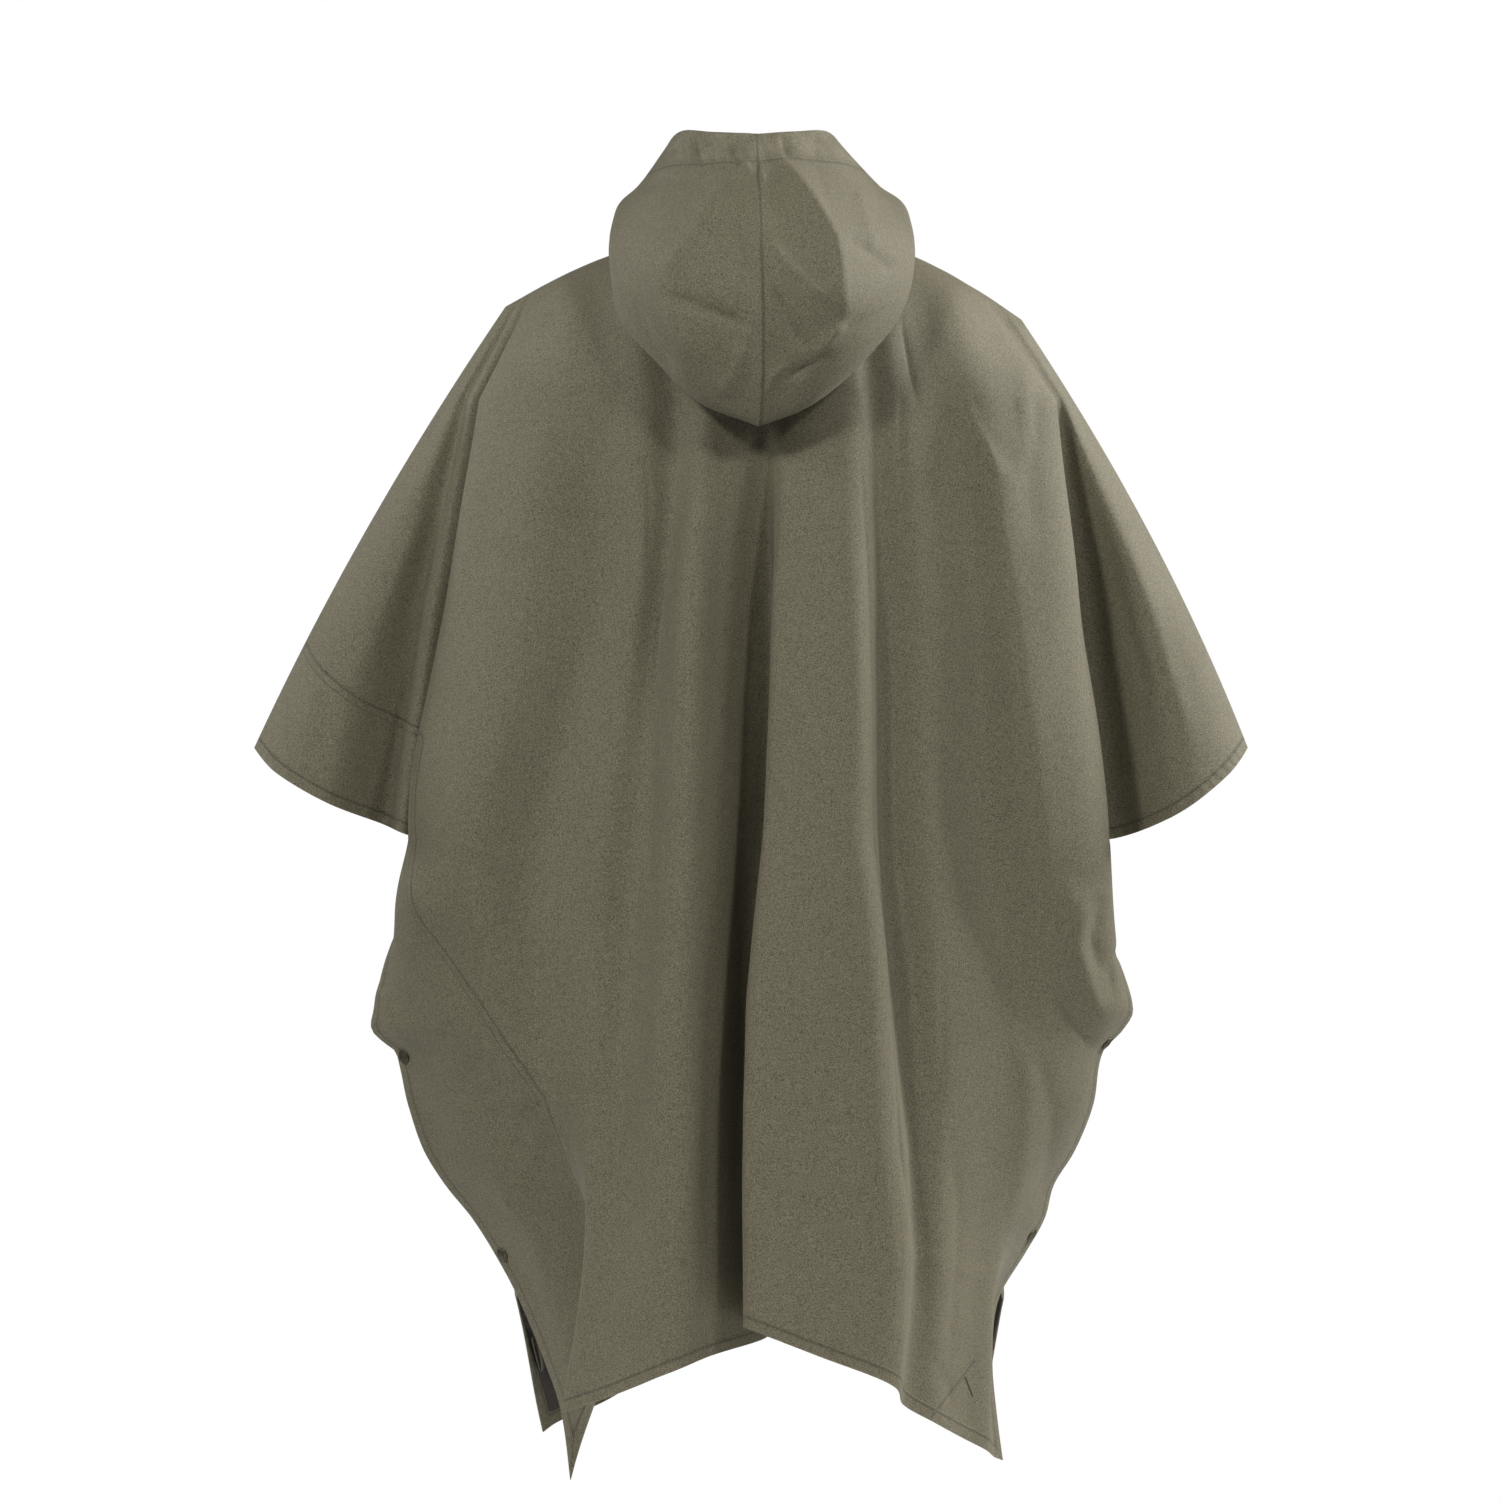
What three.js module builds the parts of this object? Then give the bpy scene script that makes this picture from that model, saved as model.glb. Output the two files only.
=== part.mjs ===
import * as THREE from "three";

// A hooded rain poncho as it hangs when worn, with its hood down and its sides snapped together.
// Millimetres. X runs to the wearer's right, Y forward and Z up, from the middle of the neck opening.

const CLOTH = 1.2; // thickness of the coated cloth
const SEAM_GAP = 0.3; // between two pieces that are sewn together
const LAYER = CLOTH + SEAM_GAP; // from the middle of one cloth to the middle of a cloth lying on it
const STRIP_RISE = 98; // from the cuff up to the side strip's seam

// The tables hold x and z as they look from this far behind, at this height.
const SIGHT = { distance: 5000, x: -3, z: -500 };

const NECK = { halfWidth: 104, halfDepth: 92, forward: 8, sideZ: 4, backZ: -4, frontZ: -42, ease: 0.25 };
const SHOULDER = [[-247, -57], [-194, -28], [-148, -8], [-104, 4], [104, 4], [158, -6], [223, -40], [268, -70]];
const ARMS = {
  left: { x: -247, z: -57, slope: 0.68, bend: 0.00025 },
  right: { x: 268, z: -70, slope: 0.67, bend: 0.00033 },
};

// Heights at which the fold lines have their x and y. The cuff and hem heights are each line's own.
const BLADE = -150;
const ELBOW = -350;
const UPPER_SNAP = -800;
const LOWER_SNAP = -1000;

// Mesh rows from each height to the next. The strip's seam crosses the sleeve after this many of its rows.
const ROWS = { shoulder: 4, upper: 3, sleeve: 4, waist: 6, snaps: 5, skirt: 4 };
const SEAM_ROW = 2;

// Fold lines of the back, from the left arm to the right one: name, mesh cells to the next line, x on the
// shoulder, then x and y at the blade, elbow, cuff, upper snap, lower snap and hem, then z at the cuff and
// the hem. A line of the sleeve ends at the cuff.
const BACK = [
  ["ridge", 2, -247, [-308, 0], [-424, 0], [-498, 0], -498],
  ["arm", 2, -243, [-302, -16], [-404, -36], [-478, -42], -522],
  ["sleeve", 2, -238, [-296, -26], [-370, -54], [-428, -60], -552],
  ["valley", 1, -232, [-288, -27], [-332, -34], [-368, -24], -575],
  ["crease", 2, -227, [-281, -36], [-318, -50], [-351, -48], -583],
  ["edge", 2, -221, [-269, -38], [-295, -46], [-323, -26], [-359, -10], [-259, -14], [-182, -60], -592, -1230],
  ["side", 2, -217, [-273, -46], [-306, -62], [-343, -58], [-313, -70], [-212, -66], [-170, -60], -591, -1194],
  ["seam", 2, -212, [-267, -60], [-300, -90], [-340, -90], [-250, -122], [-154, -100], [-158, -84], -590, -1152],
  ["flank", 2, -185, [-203, -108], [-234, -134], [-285, -148], [-230, -128], [-153, -114], [-158, -96], -590, -1150],
  ["hollow", 2, -152, [-148, -120], [-154, -130], [-218, -134], [-203, -136], [-158, -134], [-170, -108], -590, -1154],
  ["lap", 2, -124, [-108, -132], [-116, -146], [-150, -158], [-163, -164], [-168, -156], [-191, -128], -590, -1162],
  ["step", 2, -104, [-74, -128], [-93, -140], [-113, -160], [-128, -170], [-138, -176], [-152, -166], -590, -1150],
  ["leftRidge", 2, -62, [-47, -142], [-64, -170], [-71, -192], [-85, -204], [-87, -210], [-94, -208], -590, -1127],
  ["leftFall", 2, -25, [-20, -140], [-31, -150], [-37, -168], [-41, -178], [-43, -184], [-48, -186], -590, -1108],
  ["centre", 2, 0, [12, -132], [20, -118], [24, -112], [14, -112], [12, -116], [14, -124], -590, -1087],
  ["centreLap", 2, 12, [34, -142], [25, -160], [15, -188], [-3, -206], [-7, -214], [-8, -218], -590, -1078],
  ["rightRidge", 2, 45, [68, -146], [64, -178], [62, -206], [57, -218], [62, -226], [62, -230], -590, -1105],
  ["rightLap", 2, 80, [105, -140], [114, -168], [120, -190], [138, -200], [153, -206], [143, -208], -590, -1138],
  ["rightStep", 2, 104, [120, -129], [126, -148], [131, -166], [148, -174], [163, -178], [151, -180], -590, -1155],
  ["panel", 3, 128, [146, -126], [166, -144], [172, -166], [188, -168], [190, -164], [180, -154], -590, -1172],
  ["trough", 2, 158, [188, -110], [226, -118], [233, -128], [257, -122], [223, -118], [212, -112], -590, -1189],
  ["crest", 2, 193, [240, -98], [262, -122], [291, -130], [306, -92], [247, -86], [235, -86], -590, -1201],
  ["roll", 3, 219, [302, -50], [325, -80], [355, -84], [336, -50], [258, -50], [246, -68], -590, -1207],
  ["edge", 2, 230, [299, -36], [313, -38], [341, -20], [350, -10], [273, -14], [252, -56], -590, -1210],
  ["valley", 2, 241, [305, -28], [336, -22], [364, -18], -588],
  ["sleeve", 2, 252, [311, -24], [384, -56], [428, -62], -562],
  ["arm", 2, 261, [316, -13], [415, -36], [475, -42], -525],
  ["ridge", 0, 268, [320, 0], [432, 0], [496, 0], -498],
];

// x of the lines at the back's sides, closer together: z, left edge, side, seam, right roll, right edge.
const SIDES = [
  [-590, -323, -343, -340, 355, 341],
  [-655, -345, -357, -344, 358, 350],
  [-710, -367, -352, -309, 360, 366],
  [-760, -378, -338, -275, 361, 380],
  [-780, -380, -330, -263, 350, 370],
  [-802, -358, -312, -249, 336, 349],
  [-855, -344, -290, -212, 326, 340],
  [-900, -329, -268, -187, 306, 322],
  [-935, -307, -250, -174, 286, 301],
  [-968, -281, -226, -162, 276, 291],
  [-1003, -258, -212, -154, 258, 272],
  [-1050, -233, -196, -154, 236, 245],
  [-1110, -209, -184, -156, 229, 239],
  [-1160, -192, -176, -158, 236, 243],
  [-1235, -182, -168, -160, 246, 253],
];
const SIDE_COLUMNS = { left: { edge: 1, side: 2, seam: 3 }, right: { roll: 4, edge: 5 } };

// Fold lines of the front, in the same way. Its side edges are tucked under the back's at the snaps.
const FRONT = [
  ["ridge", 2, -247, [-308, 0], [-424, 0], [-498, 0], -498],
  ["arm", 2, -243, [-302, 16], [-404, 36], [-478, 42], -520],
  ["sleeve", 2, -238, [-295, 27], [-370, 56], [-426, 60], -550],
  ["valley", 2, -230, [-284, 28], [-334, 30], [-366, 22], -574],
  ["edge", 3, -223, [-271, 36], [-303, 34], [-330, 16], [-345, 2], [-250, 2], [-210, 44], -592, -1182],
  ["turn", 2, -215, [-270, 52], [-312, 74], [-344, 72], [-352, 28], [-252, 28], [-196, 54], -590, -1172],
  ["seam", 2, -180, [-214, 100], [-262, 122], [-310, 116], [-300, 98], [-210, 80], [-150, 88], -590, -1152],
  ["hollow", 2, -140, [-148, 114], [-176, 124], [-222, 124], [-218, 118], [-160, 102], [-122, 106], -590, -1136],
  ["leftCrest", 2, -104, [-90, 124], [-108, 152], [-132, 172], [-138, 178], [-118, 172], [-96, 150], -590, -1120],
  ["leftSlope", 2, -86, [-70, 122], [-84, 142], [-98, 156], [-102, 160], [-90, 156], [-76, 144], -590, -1109],
  ["leftTrough", 2, -55, [-48, 122], [-58, 130], [-64, 134], [-66, 134], [-62, 134], [-56, 134], -590, -1098],
  ["middle", 2, 0, [0, 130], [-2, 158], [4, 182], [8, 190], [8, 194], [4, 196], -590, -1086],
  ["rightTrough", 2, 50, [50, 122], [60, 132], [70, 140], [76, 142], [72, 140], [64, 140], -590, -1094],
  ["rightSlope", 2, 86, [76, 122], [90, 142], [103, 157], [112, 161], [103, 158], [88, 150], -590, -1103],
  ["rightCrest", 2, 104, [98, 126], [118, 150], [136, 170], [148, 176], [134, 172], [112, 158], -590, -1112],
  ["hollow", 2, 145, [158, 112], [188, 120], [214, 124], [224, 120], [182, 106], [152, 104], -590, -1136],
  ["flank", 2, 188, [226, 94], [258, 118], [292, 126], [300, 96], [232, 78], [188, 80], -590, -1152],
  ["turn", 3, 217, [300, 46], [324, 70], [352, 66], [342, 26], [264, 26], [218, 56], -590, -1164],
  ["edge", 2, 230, [300, 32], [315, 32], [346, 16], [336, 2], [262, 2], [228, 46], -590, -1172],
  ["valley", 2, 241, [305, 28], [338, 24], [364, 18], -586],
  ["sleeve", 2, 252, [311, 24], [384, 56], [427, 60], -560],
  ["arm", 2, 261, [316, 13], [415, 36], [475, 42], -522],
  ["ridge", 0, 268, [320, 0], [432, 0], [496, 0], -498],
];

// Where the front's side edges lie inside the back's: how deep, and from nothing to full and back.
const TUCK = { apart: 5.2, insets: [26, 13, 0, -10], from: -700, full: -770, fullEnd: -1012, to: -1060 };

// The snaps: which side and level, and z. Their parts are turned round one axis through both cloths.
const SNAPS = [["left", "upper", -806], ["left", "lower", -1003], ["right", "upper", -792], ["right", "lower", -984]];
const SNAP = { inset: 12, cap: 7.4, rise: 2.4, collar: 5.4, plate: 6.4, plateRise: 1.2, sides: 16 };

// The hood at stations round the neck, from the middle of the back (0 degrees) to the throat (180): the
// angle, how far it stands out and up over the neck seam, then x, y and z on the right side against the
// back, at the low fold, lower and upper bulge, near the top, and on the rim of the face opening.
const HOOD = [
  [0, [21, 7], [0, -150, -92], [0, -192, -176], [0, -222, -132], [0, -236, -52], [0, -204, 40], [0, -112, 116]],
  [22, [21, 7], [50, -144, -78], [58, -184, -152], [68, -208, -118], [66, -220, -40], [56, -182, 46], [40, -104, 118]],
  [46, [21, 7], [102, -122, -52], [108, -158, -106], [118, -172, -86], [118, -176, -20], [92, -144, 56], [70, -74, 119]],
  [70, [20, 8], [132, -80, -12], [141, -114, -62], [147, -122, -46], [149, -116, 4], [116, -90, 62], [84, -32, 108]],
  [88, [16, 10], [134, -36, 10], [144, -62, -4], [148, -66, 8], [147, -62, 33], [118, -44, 66], [86, -8, 97]],
  [105, [9, 12], [130, 14, 18], [141, 0, 20], [143, -6, 30], [136, -6, 48], [111, 2, 63], [82, 18, 79]],
  [142, [4, 10], [80, 82, -6], [88, 80, -1], [91, 77, 9], [88, 74, 21], [79, 70, 33], [66, 66, 43]],
  [180, [2, 4], [0, 107, -33], [0, 112, -29], [0, 114, -24], [0, 114, -18], [0, 112, -11], [0, 108, -4]],
];
const HOOD_SHIFT = [2, 5, 8, 8, 5, 1];
const HOOD_CELLS = { along: 14, fold: 7, channel: 1 };

// A loop of tape inside the front's left corner: its height on the front's edge, width, drop and bulge.
const LOOP = { z: -1120, inset: 2, width: 8, drop: 36, clear: 4.2, bulge: 5, cells: 12 };

const COLOURS = { cloth: 0x59583c, snap: 0x6a6248, tape: 0x5e5d40 };

const mix = (a, b, t) => a + (b - a) * t;
const ease = (t) => {
  const held = Math.min(1, Math.max(0, t));
  return held * held * (3 - 2 * held);
};
const column = (table, i) => table.map((row) => row[i]);

// A smooth curve through knots that run one way, by cubic pieces with slopes from their neighbours.
function through(knots, values, at) {
  const sign = Math.sign(knots[1] - knots[0]);
  let k = 0;
  while (k < knots.length - 2 && sign * (at - knots[k + 1]) > 0) k += 1;
  const slope = (i) => {
    const a = Math.max(0, i - 1);
    const b = Math.min(knots.length - 1, i + 1);
    return (values[b] - values[a]) / (knots[b] - knots[a]);
  };
  const span = knots[k + 1] - knots[k];
  const t = (at - knots[k]) / span;
  const rest = 1 - t;
  return (
    rest * rest * (1 + 2 * t) * values[k] +
    t * t * (3 - 2 * t) * values[k + 1] +
    rest * rest * t * span * slope(k) -
    t * t * rest * span * slope(k + 1)
  );
}

// A table point where it truly is, from where it looks to be.
function settled(p) {
  const nearer = 1 + p.y / SIGHT.distance;
  return new THREE.Vector3(SIGHT.x + (p.x - SIGHT.x) * nearer, p.y, SIGHT.z + (p.z - SIGHT.z) * nearer);
}

function armX(side, z) {
  const arm = ARMS[side];
  const down = arm.z - z;
  return arm.x + Math.sign(arm.x) * (arm.slope * down - arm.bend * down * down);
}

// A point on the neck opening. Facing is -1 behind and 1 in front.
function neckPoint(x, facing) {
  const across = Math.min(1, Math.abs(x) / NECK.halfWidth);
  const reach = Math.sqrt(1 - across * across);
  const z = mix(NECK.sideZ, facing < 0 ? NECK.backZ : NECK.frontZ, reach);
  return new THREE.Vector3(x, NECK.forward * (1 - across) + facing * NECK.halfDepth * reach, z);
}

function topPoint(x, facing) {
  if (Math.abs(x) <= NECK.halfWidth) return neckPoint(x, facing);
  return new THREE.Vector3(x, 0, through(column(SHOULDER, 0), column(SHOULDER, 1), x));
}

// The mesh rows from shoulder to hem, each with its zone and how far down the zone it lies.
const ROW_PLAN = [{ zone: 0, i: 0, n: ROWS.shoulder }].concat(
  Object.values(ROWS).flatMap((n, zone) => Array.from({ length: n }, (_, i) => ({ zone, i: i + 1, n }))),
);
const STRIP_ROW = ROWS.shoulder + ROWS.upper + SEAM_ROW;
const CUFF_ROW = ROWS.shoulder + ROWS.upper + ROWS.sleeve;

// How far down its zone a row lies on one fold line. The sleeve's rows follow the strip's seam.
function rowPart({ zone, i, n }, cuffZ) {
  if (zone !== 2) return i / n;
  const seam = 1 - STRIP_RISE / (ELBOW - cuffZ);
  return i <= SEAM_ROW ? (seam * i) / SEAM_ROW : mix(seam, 1, (i - SEAM_ROW) / (n - SEAM_ROW));
}

// The point of a fold line on one mesh row, or nothing where the line has ended.
function linePoint(line, facing, row) {
  const [name, , topX, ...rest] = line;
  const points = rest.filter(Array.isArray);
  const [cuffZ, hemZ] = rest.slice(points.length);
  if (row.zone > 2 && hemZ === undefined) return null;
  const side = topX < 0 ? "left" : "right";
  const part = rowPart(row, cuffZ);
  if (row.zone === 0) {
    const turn = (part * Math.PI) / 2;
    const top = topPoint(topX, facing);
    const down = 1 - Math.cos(turn);
    const z = mix(top.z, BLADE, down);
    if (name === "ridge") return new THREE.Vector3(armX(side, z), 0, z);
    return new THREE.Vector3(mix(topX, points[0][0], down), mix(top.y, points[0][1], Math.sin(turn)), z);
  }
  const heights = [BLADE, ELBOW, cuffZ, UPPER_SNAP, LOWER_SNAP, hemZ].slice(0, points.length);
  const z = mix(heights[row.zone - 1], heights[row.zone], part);
  if (name === "ridge") return new THREE.Vector3(armX(side, z), 0, z);
  const y = through(heights, column(points, 1), z);
  const sideColumn = facing < 0 && SIDE_COLUMNS[side][name];
  if (sideColumn && z <= SIDES[0][0]) {
    return new THREE.Vector3(through(column(SIDES, 0), column(SIDES, sideColumn), z), y, z);
  }
  return new THREE.Vector3(through(heights, column(points, 0), z), y, z);
}

// Mesh column of a fold line, by its place in the table.
const lineColumn = (table, index) => table.slice(0, index).reduce((sum, line) => sum + line[1], 0);
const findLine = (table, name, from = 0) => table.findIndex((line, i) => i >= from && line[0] === name);

// The middle surface of a panel: rows of points across it, empty beside the body below the cuffs.
function panelGrid(table, facing) {
  const width = lineColumn(table, table.length - 1) + 1;
  return ROW_PLAN.map((row) => {
    const points = table.map((line) => linePoint(line, facing, row));
    const first = points.findIndex((p) => p);
    const present = points.filter((p) => p);
    // On the arms the curve runs on round the fold into the other side.
    const beyond = first === 0 ? [1] : [];
    const [before, after] = [present[1], present.at(-2)].map((p) => beyond.map(() => new THREE.Vector3(p.x, -p.y, p.z)));
    const whole = [...before, ...present, ...after];
    const curve = new THREE.CatmullRomCurve3(whole, false, "centripetal");
    const cells = Array(width).fill(null);
    present.forEach((_, k) => {
      const start = lineColumn(table, first + k);
      const count = k < present.length - 1 ? table[first + k][1] : 0;
      for (let i = 0; i <= count; i += 1) {
        const t = (before.length + k + (count ? i / count : 0)) / (whole.length - 1);
        cells[start + i] = settled(curve.getPoint(Math.min(1, t)));
      }
    });
    return cells;
  });
}

// Normals of a grid at its points, from the cells round each, turned to one side by the sign.
function gridNormals(grid, sign) {
  const normals = grid.map((row) => row.map((p) => (p ? new THREE.Vector3() : null)));
  for (let r = 0; r + 1 < grid.length; r += 1) {
    for (let c = 0; c + 1 < grid[r].length; c += 1) {
      const corners = [[r, c], [r, c + 1], [r + 1, c + 1], [r + 1, c]];
      if (corners.some(([i, j]) => !grid[i][j])) continue;
      const [a, b, d, e] = corners.map(([i, j]) => grid[i][j]);
      const normal = new THREE.Vector3().crossVectors(d.clone().sub(a), b.clone().sub(e));
      corners.forEach(([i, j]) => normals[i][j].add(normal));
    }
  }
  normals.flat().forEach((n) => n && n.normalize().multiplyScalar(sign));
  return normals;
}

// Geometry from points and triangles, turned so that its volume is positive.
function closedGeometry(positions, faces) {
  const at = (i) => new THREE.Vector3(positions[3 * i], positions[3 * i + 1], positions[3 * i + 2]);
  const volume = faces.reduce((sum, [a, b, c]) => sum + at(a).dot(at(b).cross(at(c))), 0);
  const turned = volume < 0 ? faces.map(([a, b, c]) => [a, c, b]) : faces;
  const geometry = new THREE.BufferGeometry();
  geometry.setAttribute("position", new THREE.Float32BufferAttribute(positions, 3));
  geometry.setIndex(turned.flat());
  geometry.computeVertexNormals();
  return geometry;
}

// A closed wall over the cells that belong to one piece. Where the piece meets a neighbour on the same
// grid, its points draw back by half of the seam's gap. Fold points lie in the plane of the fold.
function wallGeometry(grid, normals, belongs, { lift = 0, fold = () => null } = {}) {
  const rows = grid.length;
  const cols = grid[0].length;
  const corners = (r, c) => [[r, c], [r, c + 1], [r + 1, c + 1], [r + 1, c]];
  const exists = (r, c) =>
    r >= 0 && c >= 0 && r + 1 < rows && c + 1 < cols && corners(r, c).every(([i, j]) => grid[i][j]);
  const has = (r, c) => exists(r, c) && belongs(r, c);
  const around = (r, c) => [[r - 1, c - 1], [r - 1, c], [r, c - 1], [r, c]];
  const positions = [];
  const faces = [];
  const number = new Map();
  const vertex = (r, c) => {
    const key = r * cols + c;
    if (number.has(key)) return number.get(key);
    const p = grid[r][c].clone();
    if (around(r, c).some(([i, j]) => exists(i, j) && !belongs(i, j))) {
      const own = around(r, c).filter(([i, j]) => has(i, j)).flatMap(([i, j]) => corners(i, j));
      const middle = own.reduce((sum, [i, j]) => sum.add(grid[i][j]), new THREE.Vector3());
      p.addScaledVector(middle.divideScalar(own.length).sub(p).normalize(), SEAM_GAP * 0.7);
    }
    [0.5, -0.5].forEach((half) => {
      const q = p.clone().addScaledVector(normals[r][c], lift + half * CLOTH);
      positions.push(q.x, fold(r, c) ?? q.y, q.z);
    });
    number.set(key, positions.length / 3 - 2);
    return number.get(key);
  };
  for (let r = 0; r + 1 < rows; r += 1) {
    for (let c = 0; c + 1 < cols; c += 1) {
      if (!has(r, c)) continue;
      const [a, b, d, e] = corners(r, c).map(([i, j]) => vertex(i, j));
      faces.push([a, e, d], [a, d, b], [a + 1, d + 1, e + 1], [a + 1, b + 1, d + 1]);
      const side = (p, q) => faces.push([p, q, q + 1], [p, q + 1, p + 1]);
      if (!has(r - 1, c)) side(a, b);
      if (!has(r, c + 1)) side(b, d);
      if (!has(r + 1, c)) side(d, e);
      if (!has(r, c - 1)) side(e, a);
    }
  }
  return closedGeometry(positions, faces);
}

const MATERIALS = {
  cloth: new THREE.MeshStandardMaterial({ color: COLOURS.cloth, roughness: 0.78, metalness: 0 }),
  snap: new THREE.MeshStandardMaterial({ color: COLOURS.snap, roughness: 0.45, metalness: 0.8 }),
  tape: new THREE.MeshStandardMaterial({ color: COLOURS.tape, roughness: 0.85, metalness: 0 }),
};

const poncho = new THREE.Group();
poncho.name = "rain_poncho";
function add(name, geometry, material) {
  const mesh = new THREE.Mesh(geometry, MATERIALS[material]);
  mesh.name = name;
  poncho.add(mesh);
}

// The back's point and normal this far in from its side edge, along one mesh row or between two.
function insideEdge(edge, step, row, inset) {
  const r = Math.min(Math.floor(row), back.length - 2);
  const blend = (grid, c) => grid[r][c].clone().lerp(grid[r + 1][c], row - r);
  let c = edge;
  let left = inset;
  while (left > blend(back, c).distanceTo(blend(back, c + step))) {
    left -= blend(back, c).distanceTo(blend(back, c + step));
    c += step;
  }
  const t = left / blend(back, c).distanceTo(blend(back, c + step));
  const normal = blend(backNormals, c).lerp(blend(backNormals, c + step), Math.max(0, t)).normalize();
  return { point: blend(back, c).lerp(blend(back, c + step), t), normal };
}

// Lays the front's side edges inside the back's, where the snaps hold them.
function tuckFront() {
  [["edge", 0, 1], ["edge", 8, -1]].forEach(([name, from, step]) => {
    const frontEdge = lineColumn(FRONT, findLine(FRONT, name, from));
    const backEdge = lineColumn(BACK, findLine(BACK, name, from));
    for (let r = CUFF_ROW; r < front.length; r += 1) {
      const { z } = back[r][backEdge];
      const hold = ease((TUCK.from - z) / (TUCK.from - TUCK.full)) * ease((z - TUCK.to) / (TUCK.fullEnd - TUCK.to));
      TUCK.insets.forEach((inset, k) => {
        const { point, normal } = insideEdge(backEdge, step, r, inset);
        front[r][frontEdge + step * k].lerp(point.addScaledVector(normal, -TUCK.apart), hold);
      });
    }
  });
}

const back = panelGrid(BACK, -1);
const backNormals = gridNormals(back, 1);
const front = panelGrid(FRONT, 1);
tuckFront();
const frontNormals = gridNormals(front, -1);

// Front and back part in one plane, along the arms and on the shoulders beside the neck opening.
function foldPlane(table, facing) {
  const last = lineColumn(table, table.length - 1);
  const neckFrom = lineColumn(table, table.findIndex((line) => line[2] >= -NECK.halfWidth));
  const neckTo = lineColumn(table, table.findLastIndex((line) => line[2] <= NECK.halfWidth));
  return (r, c) => {
    const onArm = (c === 0 || c === last) && r <= CUFF_ROW;
    const onShoulder = r === 0 && (c <= neckFrom || c >= neckTo);
    return onArm || onShoulder ? (facing * SEAM_GAP) / 2 : null;
  };
}

// The body cloth is built in stretches that part along its fold lines: name, then the line that ends each and
// the place in the table to look for it from. The left and right stretches part again across, at the cuffs.
const STRETCHES = {
  back: [["left_sleeve", "edge", 0], ["left", "lap", 0], ["middle", "rightLap", 0], ["right", "edge", 8], ["right_sleeve"]],
  front: [["left_sleeve", "edge", 0], ["left", "leftSlope", 0], ["middle", "rightSlope", 0], ["right", "edge", 8],
    ["right_sleeve"]],
};

[["back", BACK, back, backNormals, -1], ["front", FRONT, front, frontNormals, 1]].forEach(
  ([side, table, grid, normals, facing]) => {
    const seam = lineColumn(table, findLine(table, "seam"));
    const inStrip = (r, c) => r >= STRIP_ROW && c < seam;
    const fold = foldPlane(table, facing);
    let from = 0;
    STRETCHES[side].forEach(([name, line, after]) => {
      const start = from;
      const end = line ? lineColumn(table, findLine(table, line, after)) : Infinity;
      const own = (r, c) => !inStrip(r, c) && c >= start && c < end;
      const across = name === "left" || name === "right" ? CUFF_ROW : Infinity;
      const upper = (r, c) => own(r, c) && r < across;
      add(`body_${side}_${name}`, wallGeometry(grid, normals, upper, { fold }), "cloth");
      if (across === CUFF_ROW) {
        const lower = (r, c) => own(r, c) && r >= across;
        add(`body_${side}_${name}_skirt`, wallGeometry(grid, normals, lower, { fold }), "cloth");
      }
      from = end;
    });
    add(`side_strip_${side}`, wallGeometry(grid, normals, inStrip, { fold }), "cloth");
  },
);

// The neck edge on one side, from the middle of the back round to the throat: points with their angles.
function neckEdge(side) {
  const quarter = (grid, normals, table) => {
    const middle = lineColumn(table, table.findIndex((line) => line[2] === 0));
    const corner = lineColumn(table, table.findIndex((line) => line[2] === side * NECK.halfWidth));
    const columns = Array.from({ length: Math.abs(corner - middle) + 1 }, (_, i) => middle + side * i);
    const gone = [0];
    columns.slice(1).forEach((c, i) => gone.push(gone[i] + grid[0][c].distanceTo(grid[0][columns[i]])));
    return columns.map((c, i) => ({ p: grid[0][c], normal: normals[0][c], angle: (90 * gone[i]) / gone.at(-1) }));
  };
  const ahead = quarter(front, frontNormals, FRONT).map((at) => ({ ...at, angle: 180 - at.angle }));
  return [...quarter(back, backNormals, BACK), ...ahead.reverse().slice(1)];
}

// One half of the hood, from the middle of the back to the throat, and from the neck seam to the rim.
function hoodGrid(side) {
  const angles = column(HOOD, 0);
  const columns = neckEdge(side).map(({ p, normal, angle }) => {
    const seam = p.clone().addScaledVector(normal, LAYER + NECK.ease);
    const at = (i, axis) => through(angles, HOOD.map((row) => row[i][axis]), angle);
    const stand = new THREE.Vector3(seam.x, seam.y, 0).setLength(at(1, 0)).setZ(at(1, 1)).add(seam);
    const points = HOOD_SHIFT.map((shift, i) => {
      const lean = shift * ease(2 - angle / 90);
      return settled(new THREE.Vector3(side * at(i + 2, 0) + lean, at(i + 2, 1), at(i + 2, 2)));
    });
    return new THREE.CatmullRomCurve3([seam, stand, ...points], false, "centripetal");
  });
  return Array.from({ length: HOOD_CELLS.along + 1 }, (_, r) => columns.map((c) => c.getPoint(r / HOOD_CELLS.along)));
}

[["left", -1], ["right", 1]].forEach(([name, side]) => {
  const grid = hoodGrid(side);
  const normals = gridNormals(grid, -side);
  // The two halves meet in the middle, so each keeps to its own side of it.
  grid.forEach((row) => [row[0], row.at(-1)].forEach((p) => p.setX(p.x + (side * SEAM_GAP) / 2)));
  normals.forEach((row) => [row[0], row.at(-1)].forEach((n) => n.setX(0).normalize()));
  // Each half parts just past its low fold: the base lies against the back, and the rest stands up to
  // the rim.
  add(`hood_${name}_base`, wallGeometry(grid, normals, (r) => r < HOOD_CELLS.fold), "cloth");
  add(`hood_${name}`, wallGeometry(grid, normals, (r) => r >= HOOD_CELLS.fold), "cloth");
  const from = HOOD_CELLS.along - HOOD_CELLS.channel;
  add(`hood_channel_${name}`, wallGeometry(grid, normals, (r) => r >= from, { lift: -LAYER }), "cloth");
});

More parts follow.
